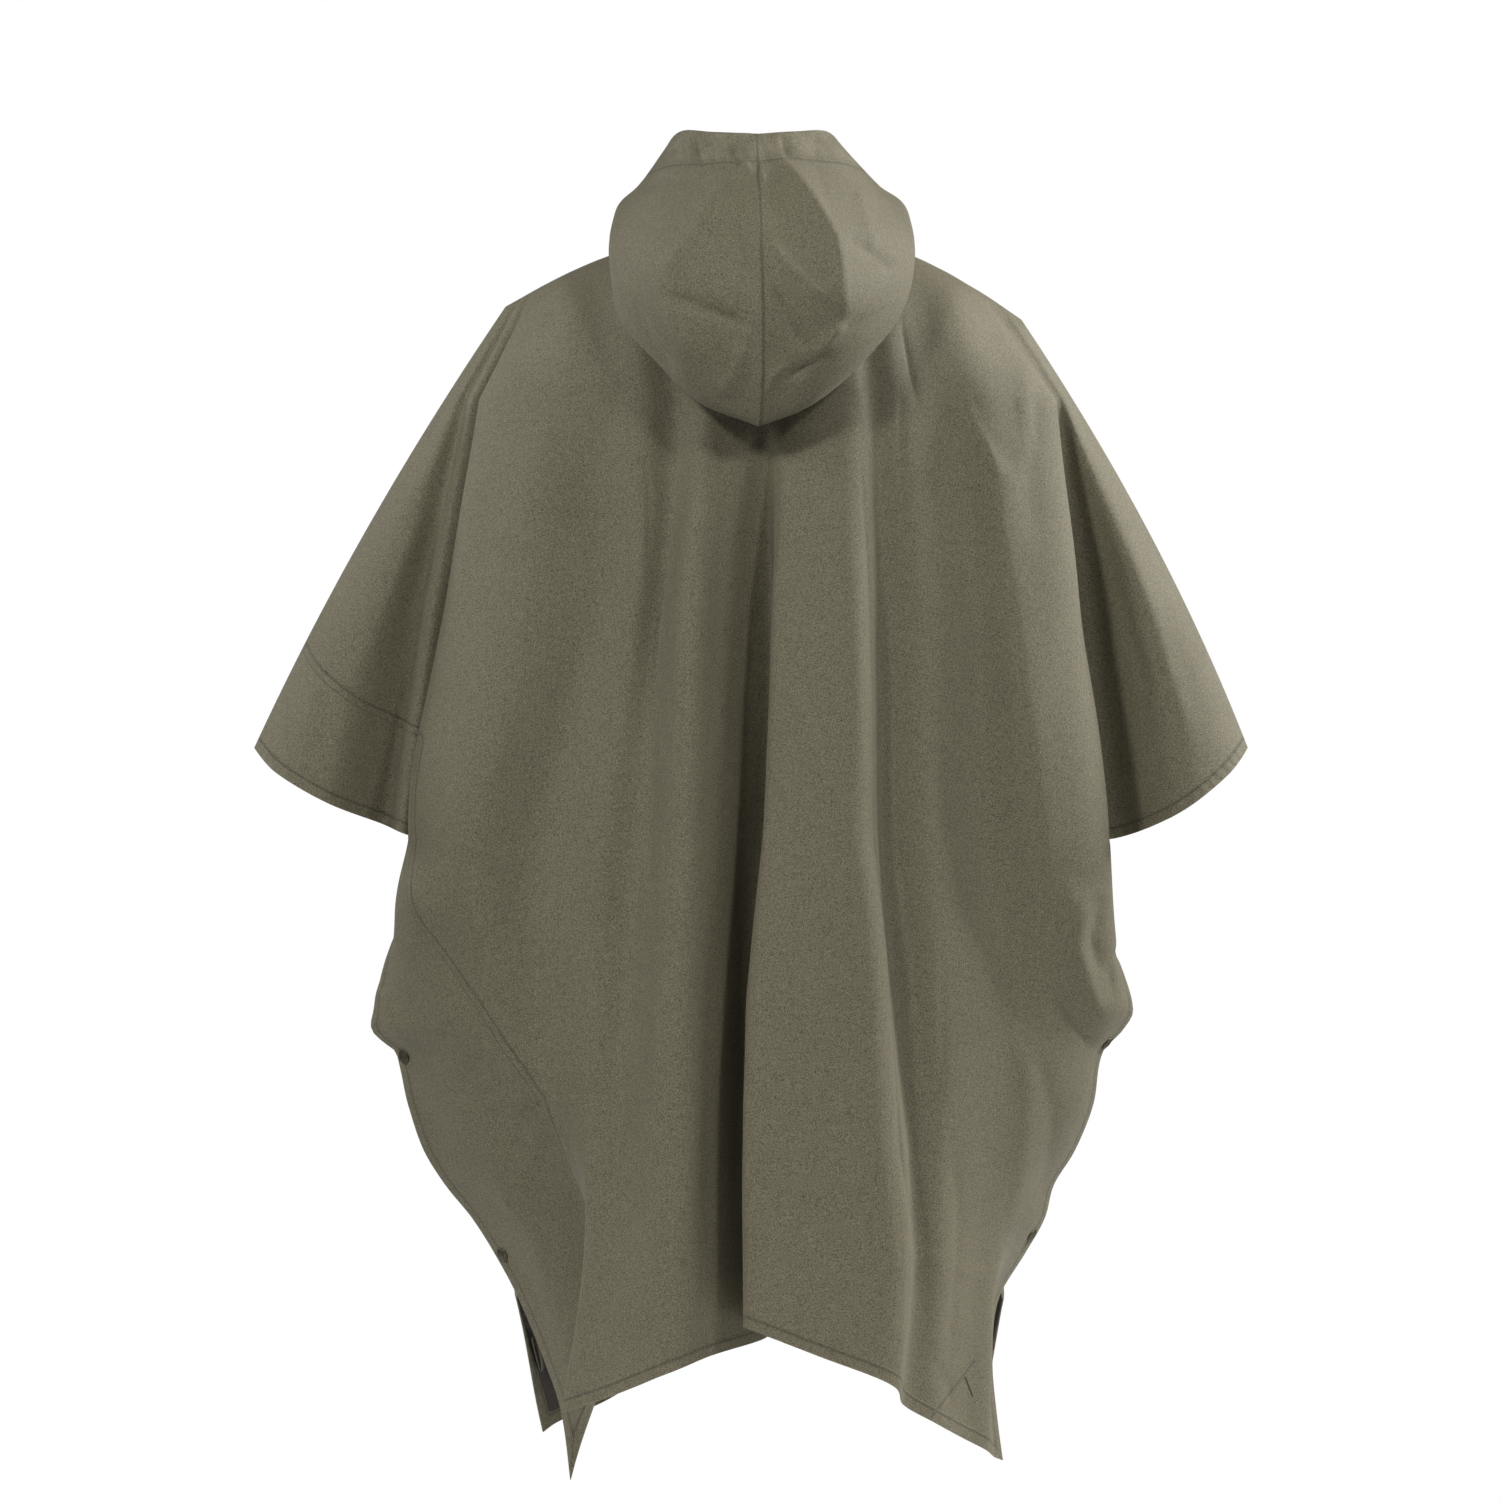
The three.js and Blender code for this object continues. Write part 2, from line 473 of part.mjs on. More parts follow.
// A round part turned about its axis: a profile of radius and height pairs, set on a point and direction.
function turnedPart(profile, centre, direction) {
  const geometry = new THREE.LatheGeometry(profile.map(([r, h]) => new THREE.Vector2(r, h)), SNAP.sides);
  geometry.applyQuaternion(new THREE.Quaternion().setFromUnitVectors(new THREE.Vector3(0, 1, 0), direction));
  geometry.translate(centre.x, centre.y, centre.z);
  return geometry;
}

// Lowest and highest places of a wall's face over a round footprint, along the footprint's axis.
function faceHeights(grid, normals, half, { centre, axis, radius }) {
  const heights = [];
  const q = new THREE.Vector3();
  const face = (i, j) => grid[i][j].clone().addScaledVector(normals[i][j], half);
  for (let r = CUFF_ROW; r + 1 < grid.length; r += 1) {
    for (let c = 0; c + 1 < grid[r].length; c += 1) {
      if (!grid[r][c] || !grid[r][c + 1] || grid[r][c].distanceTo(centre) > 90) continue;
      const [a, b, d, e] = [face(r, c), face(r, c + 1), face(r + 1, c + 1), face(r + 1, c)];
      for (let i = 0; i <= 24; i += 1) {
        for (let j = 0; i + j <= 24; j += 1) {
          [[a, e], [a, b]].forEach(([first, second]) => {
            q.copy(d).multiplyScalar(1 - (i + j) / 24).addScaledVector(first, i / 24).addScaledVector(second, j / 24);
            q.sub(centre);
            const height = q.dot(axis);
            if (Math.abs(height) < 14 && q.addScaledVector(axis, -height).length() < radius + 0.4) heights.push(height);
          });
        }
      }
    }
  }
  return { low: Math.min(...heights), high: Math.max(...heights) };
}

SNAPS.forEach(([side, level, z]) => {
  const edge = lineColumn(BACK, findLine(BACK, "edge", side === "left" ? 0 : 8));
  const step = side === "left" ? 1 : -1;
  const r = back.findIndex((row, i) => i > CUFF_ROW && row[edge].z <= z) - 1;
  const row = r + (back[r][edge].z - z) / (back[r][edge].z - back[r + 1][edge].z);
  const { point: centre, normal: axis } = insideEdge(edge, step, row, SNAP.inset);
  const over = (radius) => ({ centre, axis, radius });
  const disc = (radius, from, to) => [[0, from], [radius, from], [radius, to], [0, to]];
  const half = CLOTH / 2;
  const base = faceHeights(back, backNormals, half, over(SNAP.cap)).high + SEAM_GAP;
  const top = base + SNAP.rise;
  const cap = [[0, base], [SNAP.cap, base], [SNAP.cap, base + 1], [SNAP.cap - 1.2, top - 0.5], [SNAP.cap - 3, top], [0, top]];
  const low = faceHeights(front, frontNormals, half, over(SNAP.collar)).high + SEAM_GAP;
  const high = faceHeights(back, backNormals, -half, over(SNAP.collar)).low - SEAM_GAP;
  const under = faceHeights(front, frontNormals, -half, over(SNAP.plate)).low - SEAM_GAP;
  add(`snap_cap_${side}_${level}`, turnedPart(cap, centre, axis), "snap");
  add(`snap_collar_${side}_${level}`, turnedPart(disc(SNAP.collar, low, high), centre, axis), "snap");
  const plate = disc(SNAP.plate, under - SNAP.plateRise, under);
  add(`snap_plate_${side}_${level}`, turnedPart(plate, centre, axis), "snap");
});

// The tape loop hangs inside the front's left corner, doubled on itself.
function tapeLoop() {
  const edge = lineColumn(FRONT, findLine(FRONT, "edge")) + 1;
  const r = front.findIndex((row, i) => i > CUFF_ROW && row[edge].z <= LOOP.z) - 1;
  const here = front[r][edge];
  const corners = [[r, edge], [r + 1, edge], [r, edge + 1], [r + 1, edge + 1]];
  const normal = corners.reduce((sum, [i, j]) => sum.add(frontNormals[i][j]), new THREE.Vector3()).normalize();
  const across = front[r][edge + 1].clone().sub(here).normalize();
  const downward = front[r + 1][edge].clone().sub(here).normalize();
  const grid = Array.from({ length: LOOP.cells + 1 }, (_, i) => {
    const turn = (i / LOOP.cells) * Math.PI;
    const drop = LOOP.drop * Math.sin(turn);
    const bulge = LOOP.clear + (LOOP.bulge * (1 - Math.cos(turn))) / 2;
    return [0, 1].map((s) =>
      here.clone()
        .addScaledVector(across, LOOP.inset + s * LOOP.width)
        .addScaledVector(downward, drop)
        .addScaledVector(normal, -bulge));
  });
  return wallGeometry(grid, gridNormals(grid, 1), () => true);
}
add("tape_loop", tapeLoop(), "tape");

export default poncho;
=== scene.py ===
"""A hooded rain poncho in its worn shape, seen from behind: coated olive cloth with a side strip, a hood
hanging open behind the neck, and snaps that hold the sides.

The tables are in millimetres, as in the solids. Objects are made in metres."""

import math

import bmesh
import bpy
import numpy as np
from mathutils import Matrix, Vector
from mathutils.kdtree import KDTree


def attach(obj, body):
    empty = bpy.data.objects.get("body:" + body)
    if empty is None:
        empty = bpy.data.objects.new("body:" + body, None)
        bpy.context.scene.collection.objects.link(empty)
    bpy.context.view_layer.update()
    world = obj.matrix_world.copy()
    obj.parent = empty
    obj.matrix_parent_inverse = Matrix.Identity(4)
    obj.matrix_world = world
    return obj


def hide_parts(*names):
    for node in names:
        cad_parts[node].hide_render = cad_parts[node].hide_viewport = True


bl_info = {
    "name": "Rain poncho",
    "version": (1, 0, 0),
    "blender": (4, 5, 0),
    "location": "3D View > Sidebar > Poncho",
    "description": "Builds a hooded rain poncho over its packed solids",
    "category": "Add Mesh",
}

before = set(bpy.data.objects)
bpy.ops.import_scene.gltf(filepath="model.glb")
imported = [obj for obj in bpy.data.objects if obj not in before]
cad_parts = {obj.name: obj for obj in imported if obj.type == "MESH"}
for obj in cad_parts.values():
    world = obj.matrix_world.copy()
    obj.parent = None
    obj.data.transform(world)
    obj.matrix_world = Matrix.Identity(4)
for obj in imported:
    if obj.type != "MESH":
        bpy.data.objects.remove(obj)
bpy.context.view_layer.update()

MM = 0.001
CLOTH = 1.2  # wall thickness
SEAM_GAP = 0.3
LAYER = CLOTH + SEAM_GAP
STRIP_RISE = 98  # from the cuff up to the side strip's seam on the sleeve

SIGHT = {"distance": 5000, "x": -3, "z": -500}
NECK = {
    "half_width": 104, "half_depth": 92, "forward": 8, "side_z": 4, "back_z": -4, "front_z": -42, "ease": 0.25}
SHOULDER = [[-247, -57], [-194, -28], [-148, -8], [-104, 4], [104, 4], [158, -6], [223, -40], [268, -70]]
ARMS = {
    -1: {"x": -247, "z": -57, "slope": 0.68, "bend": 0.00025},
    1: {"x": 268, "z": -70, "slope": 0.67, "bend": 0.00033},
}
BLADE, ELBOW, UPPER_SNAP, LOWER_SNAP = -150, -350, -800, -1000
ZONE_ROWS = [4, 3, 4, 6, 5, 4]
SEAM_ROW = 2
RIGHT_LINES = 8  # from this line of a table on, the named side lines are those of the right side

# Fold lines: name, cells to the next line, x on the shoulder, x and y at the blade, elbow, cuff, upper snap,
# lower snap and hem, then z at the cuff and the hem.
BACK = [
    ["ridge", 2, -247, [-308, 0], [-424, 0], [-498, 0], -498],
    ["arm", 2, -243, [-302, -16], [-404, -36], [-478, -42], -522],
    ["sleeve", 2, -238, [-296, -26], [-370, -54], [-428, -60], -552],
    ["valley", 1, -232, [-288, -27], [-332, -34], [-368, -24], -575],
    ["crease", 2, -227, [-281, -36], [-318, -50], [-351, -48], -583],
    ["edge", 2, -221, [-269, -38], [-295, -46], [-323, -26], [-359, -10], [-259, -14],
     [-182, -60], -592, -1230],
    ["side", 2, -217, [-273, -46], [-306, -62], [-343, -58], [-313, -70], [-212, -66],
     [-170, -60], -591, -1194],
    ["seam", 2, -212, [-267, -60], [-300, -90], [-340, -90], [-250, -122], [-154, -100],
     [-158, -84], -590, -1152],
    ["flank", 2, -185, [-203, -108], [-234, -134], [-285, -148], [-230, -128], [-153, -114],
     [-158, -96], -590, -1150],
    ["hollow", 2, -152, [-148, -120], [-154, -130], [-218, -134], [-203, -136], [-158, -134],
     [-170, -108], -590, -1154],
    ["lap", 2, -124, [-108, -132], [-116, -146], [-150, -158], [-163, -164], [-168, -156],
     [-191, -128], -590, -1162],
    ["step", 2, -104, [-74, -128], [-93, -140], [-113, -160], [-128, -170], [-138, -176],
     [-152, -166], -590, -1150],
    ["leftRidge", 2, -62, [-47, -142], [-64, -170], [-71, -192], [-85, -204], [-87, -210],
     [-94, -208], -590, -1127],
    ["leftFall", 2, -25, [-20, -140], [-31, -150], [-37, -168], [-41, -178], [-43, -184],
     [-48, -186], -590, -1108],
    ["centre", 2, 0, [12, -132], [20, -118], [24, -112], [14, -112], [12, -116], [14, -124], -590, -1087],
    ["centreLap", 2, 12, [34, -142], [25, -160], [15, -188], [-3, -206], [-7, -214], [-8, -218], -590, -1078],
    ["rightRidge", 2, 45, [68, -146], [64, -178], [62, -206], [57, -218], [62, -226], [62, -230], -590, -1105],
    ["rightLap", 2, 80, [105, -140], [114, -168], [120, -190], [138, -200], [153, -206],
     [143, -208], -590, -1138],
    ["rightStep", 2, 104, [120, -129], [126, -148], [131, -166], [148, -174], [163, -178],
     [151, -180], -590, -1155],
    ["panel", 3, 128, [146, -126], [166, -144], [172, -166], [188, -168], [190, -164],
     [180, -154], -590, -1172],
    ["trough", 2, 158, [188, -110], [226, -118], [233, -128], [257, -122], [223, -118],
     [212, -112], -590, -1189],
    ["crest", 2, 193, [240, -98], [262, -122], [291, -130], [306, -92], [247, -86], [235, -86], -590, -1201],
    ["roll", 3, 219, [302, -50], [325, -80], [355, -84], [336, -50], [258, -50], [246, -68], -590, -1207],
    ["edge", 2, 230, [299, -36], [313, -38], [341, -20], [350, -10], [273, -14], [252, -56], -590, -1210],
    ["valley", 2, 241, [305, -28], [336, -22], [364, -18], -588],
    ["sleeve", 2, 252, [311, -24], [384, -56], [428, -62], -562],
    ["arm", 2, 261, [316, -13], [415, -36], [475, -42], -525],
    ["ridge", 0, 268, [320, 0], [432, 0], [496, 0], -498],
]

# x of the lines at the back's sides: z, left edge, side, seam, right roll, right edge.
SIDES = [
    [-590, -323, -343, -340, 355, 341],
    [-655, -345, -357, -344, 358, 350],
    [-710, -367, -352, -309, 360, 366],
    [-760, -378, -338, -275, 361, 380],
    [-780, -380, -330, -263, 350, 370],
    [-802, -358, -312, -249, 336, 349],
    [-855, -344, -290, -212, 326, 340],
    [-900, -329, -268, -187, 306, 322],
    [-935, -307, -250, -174, 286, 301],
    [-968, -281, -226, -162, 276, 291],
    [-1003, -258, -212, -154, 258, 272],
    [-1050, -233, -196, -154, 236, 245],
    [-1110, -209, -184, -156, 229, 239],
    [-1160, -192, -176, -158, 236, 243],
    [-1235, -182, -168, -160, 246, 253],
]
SIDE_COLUMNS = {(-1, "edge"): 1, (-1, "side"): 2, (-1, "seam"): 3, (1, "roll"): 4, (1, "edge"): 5}

FRONT = [
    ["ridge", 2, -247, [-308, 0], [-424, 0], [-498, 0], -498],
    ["arm", 2, -243, [-302, 16], [-404, 36], [-478, 42], -520],
    ["sleeve", 2, -238, [-295, 27], [-370, 56], [-426, 60], -550],
    ["valley", 2, -230, [-284, 28], [-334, 30], [-366, 22], -574],
    ["edge", 3, -223, [-271, 36], [-303, 34], [-330, 16], [-345, 2], [-250, 2], [-210, 44], -592, -1182],
    ["turn", 2, -215, [-270, 52], [-312, 74], [-344, 72], [-352, 28], [-252, 28], [-196, 54], -590, -1172],
    ["seam", 2, -180, [-214, 100], [-262, 122], [-310, 116], [-300, 98], [-210, 80], [-150, 88], -590, -1152],
    ["hollow", 2, -140, [-148, 114], [-176, 124], [-222, 124], [-218, 118], [-160, 102],
     [-122, 106], -590, -1136],
    ["leftCrest", 2, -104, [-90, 124], [-108, 152], [-132, 172], [-138, 178], [-118, 172],
     [-96, 150], -590, -1120],
    ["leftSlope", 2, -86, [-70, 122], [-84, 142], [-98, 156], [-102, 160], [-90, 156], [-76, 144], -590, -1109],
    ["leftTrough", 2, -55, [-48, 122], [-58, 130], [-64, 134], [-66, 134], [-62, 134], [-56, 134], -590, -1098],
    ["middle", 2, 0, [0, 130], [-2, 158], [4, 182], [8, 190], [8, 194], [4, 196], -590, -1086],
    ["rightTrough", 2, 50, [50, 122], [60, 132], [70, 140], [76, 142], [72, 140], [64, 140], -590, -1094],
    ["rightSlope", 2, 86, [76, 122], [90, 142], [103, 157], [112, 161], [103, 158], [88, 150], -590, -1103],
    ["rightCrest", 2, 104, [98, 126], [118, 150], [136, 170], [148, 176], [134, 172], [112, 158], -590, -1112],
    ["hollow", 2, 145, [158, 112], [188, 120], [214, 124], [224, 120], [182, 106], [152, 104], -590, -1136],
    ["flank", 2, 188, [226, 94], [258, 118], [292, 126], [300, 96], [232, 78], [188, 80], -590, -1152],
    ["turn", 3, 217, [300, 46], [324, 70], [352, 66], [342, 26], [264, 26], [218, 56], -590, -1164],
    ["edge", 2, 230, [300, 32], [315, 32], [346, 16], [336, 2], [262, 2], [228, 46], -590, -1172],
    ["valley", 2, 241, [305, 28], [338, 24], [364, 18], -586],
    ["sleeve", 2, 252, [311, 24], [384, 56], [427, 60], -560],
    ["arm", 2, 261, [316, 13], [415, 36], [475, 42], -522],
    ["ridge", 0, 268, [320, 0], [432, 0], [496, 0], -498],
]

TUCK = {"apart": 5.2, "insets": [26, 13, 0, -10], "from": -700, "full": -770, "full_end": -1012, "to": -1060}
SNAPS = [("left", "upper", -806), ("left", "lower", -1003), ("right", "upper", -792), ("right", "lower", -984)]

# The hood: angle round the neck, how far it stands out and up over the seam, then x, y and z against the
# back, at the low fold, lower and upper bulge, near the top, and on the rim.
HOOD = [
    [0, [21, 7], [0, -150, -92], [0, -192, -176], [0, -222, -132], [0, -236, -52], [0, -204, 40],
     [0, -112, 116]],
    [22, [21, 7], [50, -144, -78], [58, -184, -152], [68, -208, -118], [66, -220, -40], [56, -182, 46],
     [40, -104, 118]],
    [46, [21, 7], [102, -122, -52], [108, -158, -106], [118, -172, -86], [118, -176, -20], [92, -144, 56],
     [70, -74, 119]],
    [70, [20, 8], [132, -80, -12], [141, -114, -62], [147, -122, -46], [149, -116, 4], [116, -90, 62],
     [84, -32, 108]],
    [88, [16, 10], [134, -36, 10], [144, -62, -4], [148, -66, 8], [147, -62, 33], [118, -44, 66], [86, -8, 97]],
    [105, [9, 12], [130, 14, 18], [141, 0, 20], [143, -6, 30], [136, -6, 48], [111, 2, 63], [82, 18, 79]],
    [142, [4, 10], [80, 82, -6], [88, 80, -1], [91, 77, 9], [88, 74, 21], [79, 70, 33], [66, 66, 43]],
    [180, [2, 4], [0, 107, -33], [0, 112, -29], [0, 114, -24], [0, 114, -18], [0, 112, -11], [0, 108, -4]],
]
HOOD_SHIFT = [2, 5, 8, 8, 5, 1]

# Creases of the back: width and depth in mm (a ridge is positive), how sharp its left and right flanks are,
# then the x and z that it runs through, as seen from behind.
BACK_CREASES = [
    ("under the hood, left", 6, -2.0, 1, 1, [(-127, -122), (-138, -160), (-151, -206)]),
    ("left of the middle", 5, -2.2, 1, 1.6, [(-109, -195), (-103, -262), (-106, -319)]),
    ("left panel step", 5, -3.2, 1.2, 0.8, [(-69, -150), (-81, -262), (-92, -360), (-98, -431),
     (-102, -560), (-100, -700)]),
    ("left crest", 26, 8.0, 1, 1.1, [(-50, -200), (-56, -300), (-62, -430), (-68, -700), (-70, -940),
     (-88, -1120)]),
    ("centre fall", 12, -2.4, 1, 1.4, [(-8, -190), (4, -260), (-4, -430), (-8, -620), (-12, -850),
     (-12, -1040)]),
    ("right lap edge", 6, 5.5, 1.6, 0.35, [(36, -150), (31, -262), (26, -333), (23, -450), (15, -590),
     (-1, -750), (-5, -850), (-7, -1090)]),
    ("right crest", 17, 8.0, 0.5, 1, [(90, -104), (92, -234), (98, -347), (101, -448), (103, -590), (114, -700),
                                      (125, -900), (137, -1000), (130, -1150)]),
    ("right crest line", 5, -4.2, 1.3, 0.8, [(106, -130), (109, -234), (116, -347), (119, -448),
     (121, -590), (135, -700),
                                             (147, -900), (158, -969), (150, -1150)]),
    ("right of the crest", 12, -3.4, 1.2, 0.7, [(122, -160), (134, -347), (138, -448), (142, -590),
     (158, -720), (170, -900)]),
    ("short, right blade", 4, -1.6, 1, 1.5, [(147, -63), (156, -110), (166, -159)]),
    ("long, right blade", 4, -2.2, 1.4, 1, [(149, -134), (148, -190), (152, -299)]),
    ("right trough", 14, -2.8, 0.8, 1, [(175, -103), (199, -180), (219, -262), (229, -431), (232, -590),
     (247, -700), (258, -800)]),
    ("right outer ridge", 14, 2.4, 1, 0.7, [(222, -140), (246, -260), (262, -350), (282, -500),
     (292, -600), (300, -700)]),
    ("shoulder pull top", 5, 3.2, 1.6, 0.8, [(292, -111), (275, -113), (269, -129), (273, -180), (269, -225)]),
    ("shoulder pull hook", 5, 3.0, 0.8, 1.6, [(269, -225), (259, -233), (246, -219), (230, -190),
     (218, -167), (211, -144)]),
    ("shoulder pull valley", 7, -2.8, 1, 1, [(284, -130), (281, -180), (276, -235), (283, -300)]),
    ("left ridge", 20, 2.0, 1, 0.7, [(-222, -150), (-218, -260), (-228, -380), (-250, -480), (-284, -590),
     (-310, -700)]),
    ("left trough", 22, -2.0, 0.8, 1, [(-148, -250), (-150, -360), (-168, -470), (-200, -590), (-222, -700)]),
    ("left blade", 6, -1.8, 1, 1.5, [(-205, -110), (-196, -160), (-190, -230)]),
    ("short left line", 5, -1.6, 1.4, 1, [(-176, -600), (-170, -660), (-158, -720)]),
    ("low left line", 5, -1.7, 1, 1.4, [(-128, -820), (-134, -890), (-146, -960)]),
    ("strip crease", 5, -4.8, 1.6, 1, [(-187, -832), (-212, -848), (-235, -878), (-245, -911), (-250, -960)]),
    ("strip ridge", 8, 4.2, 1, 0.8, [(-200, -858), (-226, -890), (-238, -930), (-246, -980)]),
    ("strip low", 8, -2.0, 1, 1, [(-246, -760), (-272, -800), (-290, -842), (-302, -880)]),
    ("strip pull", 7, 2.2, 1, 1, [(-262, -930), (-236, -960), (-214, -1000), (-204, -1040)]),
    ("left bulge", 9, 3.6, 1, 1, [(-372, -730), (-360, -776), (-332, -790)]),
    ("left bulge foot", 6, -3.0, 1, 1, [(-366, -800), (-340, -806), (-318, -800)]),
    ("left snap pull", 5, 2.2, 1, 1.4, [(-338, -800), (-310, -776), (-286, -742)]),
    ("low snap pull", 5, -2.0, 1.4, 1, [(-244, -1006), (-222, -1034), (-206, -1072)]),
    ("low left", 9, -1.6, 1, 1, [(-140, -900), (-150, -980), (-156, -1060), (-172, -1130)]),
    ("right shade step", 8, 1.4, 1, 1.8, [(150, -1000), (190, -1010), (225, -1026), (250, -1038)]),
    ("right waist ridge", 8, 6.4, 1, 0.8, [(330, -630), (322, -700), (340, -752), (366, -770)]),
    ("right waist fold", 6, -5.4, 1.4, 1, [(300, -740), (328, -782), (346, -800)]),
    ("right waist line", 5, -3.8, 1, 1.4, [(352, -640), (340, -690), (350, -730)]),
    ("right waist bright", 6, 3.4, 1, 1, [(318, -622), (312, -672), (326, -720)]),
    ("right waist pit", 5, -3.0, 1, 1, [(372, -690), (356, -716), (362, -752)]),
    ("right hip", 9, -2.2, 1, 1, [(282, -800), (300, -860), (296, -920), (278, -970)]),
    ("right hip ridge", 9, 2.0, 1, 1, [(262, -760), (276, -840), (268, -930), (250, -1000)]),
    ("right skirt", 8, -2.0, 1, 1, [(196, -880), (206, -960), (200, -1060), (196, -1140)]),
    ("right skirt line", 5, -1.6, 1.4, 1, [(188, -700), (190, -800), (180, -880)]),
    ("right corner", 5, -2.4, 1, 1, [(179, -1111), (195, -1134), (200, -1160)]),
    ("left sleeve dip", 10, -2.0, 1, 1, [(-300, -180), (-350, -290), (-392, -420), (-410, -520)]),
    ("left sleeve ridge", 10, 1.8, 1, 1, [(-318, -240), (-372, -360), (-420, -480)]),
    ("left cuff", 6, 1.8, 1, 1, [(-440, -430), (-446, -480), (-452, -520)]),
    ("right sleeve dip", 9, -2.2, 1, 1, [(330, -210), (368, -330), (392, -440), (400, -540)]),
    ("right sleeve ridge", 9, 2.0, 1, 1, [(346, -240), (398, -360), (432, -470), (446, -530)]),
    ("right sleeve crease", 5, -1.8, 1, 1.4, [(352, -300), (380, -400), (412, -470)]),
]
FRONT_CREASES = [
    ("left crest", 16, 2.6, 1, 1, [(-90, -140), (-110, -300), (-128, -520), (-140, -760), (-120, -1000)]),
    ("middle crest", 18, 2.2, 1, 1, [(0, -160), (2, -400), (6, -640), (8, -900), (6, -1060)]),
    ("right crest", 14, 2.8, 1, 1, [(100, -150), (118, -330), (134, -560), (148, -780), (130, -1000)]),
    ("left dip", 12, -2.6, 1, 1, [(-50, -130), (-60, -330), (-66, -600), (-62, -900)]),
    ("right dip", 12, -2.4, 1, 1, [(52, -140), (62, -360), (72, -600), (74, -880)]),
    ("left hollow", 14, -2.2, 1, 1, [(-150, -180), (-180, -400), (-220, -640), (-206, -860), (-160, -1020)]),
    ("right hollow", 14, -2.4, 1, 1, [(160, -170), (190, -380), (216, -600), (220, -820), (180, -1000)]),
    ("left flank", 12, 2.0, 1, 1, [(-230, -200), (-268, -420), (-300, -640), (-280, -820)]),
    ("right flank", 12, 2.2, 1, 1, [(240, -200), (270, -400), (300, -620), (290, -820)]),
    ("pull, left snap", 7, -2.6, 1.4, 1, [(-330, -806), (-280, -790), (-226, -760), (-180, -720)]),
    ("pull, right snap", 7, -2.4, 1, 1.4, [(326, -792), (276, -770), (226, -736), (190, -700)]),
    ("low pull, left", 7, -2.2, 1, 1, [(-240, -1003), (-196, -980), (-150, -930)]),
    ("low pull, right", 7, -2.0, 1, 1, [(256, -984), (206, -960), (164, -910)]),
    ("neck left", 6, -1.8, 1, 1, [(-60, -60), (-90, -110), (-104, -170)]),
    ("neck right", 6, -1.8, 1, 1, [(56, -60), (86, -112), (108, -176)]),
    ("left sleeve", 9, -2.2, 1, 1, [(-300, -180), (-352, -300), (-396, -430), (-410, -520)]),
    ("right sleeve", 9, -2.2, 1, 1, [(330, -210), (370, -330), (396, -450), (404, -540)]),
    ("left sleeve ridge", 9, 2.0, 1, 1, [(-322, -240), (-380, -360), (-430, -480)]),
    ("right sleeve ridge", 9, 2.0, 1, 1, [(346, -240), (400, -360), (440, -480)]),
]
# Creases of the hood, as seen from behind.
HOOD_CREASES = [
    ("left diagonal", 9, 7.5, 0.6, 1.3, [(-24, 78), (-36, 50), (-56, 15), (-90, -34)]),
    ("left low line", 6, -6.9, 1.2, 0.7, [(-92, -42), (-60, -54), (-30, -66), (2, -78)]),
    ("left high line", 6, -4.5, 1, 1, [(-118, 56), (-92, 70), (-58, 72), (-28, 86)]),
    ("left of the middle", 6, -5.4, 1, 1.2, [(-18, 40), (-8, 6), (4, -24), (8, -52)]),
    ("middle slant", 5.2, 5.4, 1, 1, [(-12, 88), (0, 76), (14, 66)]),
    ("right panel", 9.8, 10.5, 0.9, 0.5, [(16, 104), (38, 74), (60, 44), (78, 12), (84, -12), (85, -41),
     (90, -74), (100, -90)]),
    ("right inner slant", 6, -6.6, 1, 1, [(16, -30), (30, -54), (44, -84), (56, -106)]),
    ("right inner ridge", 6, 6.3, 1, 1, [(12, 14), (34, -18), (62, -42), (82, -54)]),
    ("right low ridge", 4.5, 6.9, 1, 0.8, [(50, -120), (66, -102), (84, -80), (92, -70)]),
    ("right tip fold", 4.5, -6.3, 1, 1, [(26, -132), (52, -118), (78, -96)]),
    ("right side line", 5.2, -4.5, 1, 1, [(88, 14), (112, 0), (148, -26)]),
    ("right edge line", 6, 4.2, 1, 1, [(100, 66), (112, 30), (122, -6)]),
    ("left belly", 9, 5.4, 1, 0.8, [(-112, 24), (-100, -20), (-76, -76), (-46, -122)]),
    ("left hem", 5.2, -4.5, 1, 1, [(-124, -44), (-104, -88), (-74, -128)]),
    ("tip left", 5.2, 4.8, 1, 1, [(-34, -150), (-18, -120), (-8, -90)]),
    ("tip right", 4.5, 4.5, 1, 1, [(6, -150), (18, -128), (36, -110)]),
    ("gather a", 3.5, -3.2, 1, 1, [(-78, 112), (-74, 98), (-64, 84)]),
    ("gather b", 3.5, -4.3, 1, 1, [(-58, 116), (-56, 100), (-50, 82)]),
    ("gather c", 3.5, -3.6, 1, 1, [(-42, 116), (-40, 102), (-38, 84)]),
    ("gather d", 3.5, -4.7, 1, 1, [(-24, 116), (-20, 100), (-12, 80)]),
    ("gather e", 3.5, -2.5, 1, 1, [(30, 115), (32, 100), (36, 86)]),
    ("gather f", 3.5, -2.2, 1, 1, [(58, 116), (60, 104), (66, 90)]),
]

# Work in the back's right corner, as seen: a row of stitches that holds the corner's patch, and a short slit.
CORNER = {"patch": [(177, -1168), (222, -1109)], "slit": [(211, -1126), (219, -1147)]}

# How many times finer than the solids the rows and columns are, and the rows from the hood's seam to its rim.
FINE = {"rows": 6, "columns": 6, "hood_along": 168}
CHANNEL_ROW = FINE["hood_along"] * 8 // 9

# How many fine columns from a side edge inwards are measured for what lies near it, and from one point to the
# next on a drawn line.
EDGE_COLUMNS = 60
PATH_STEP = 2.0

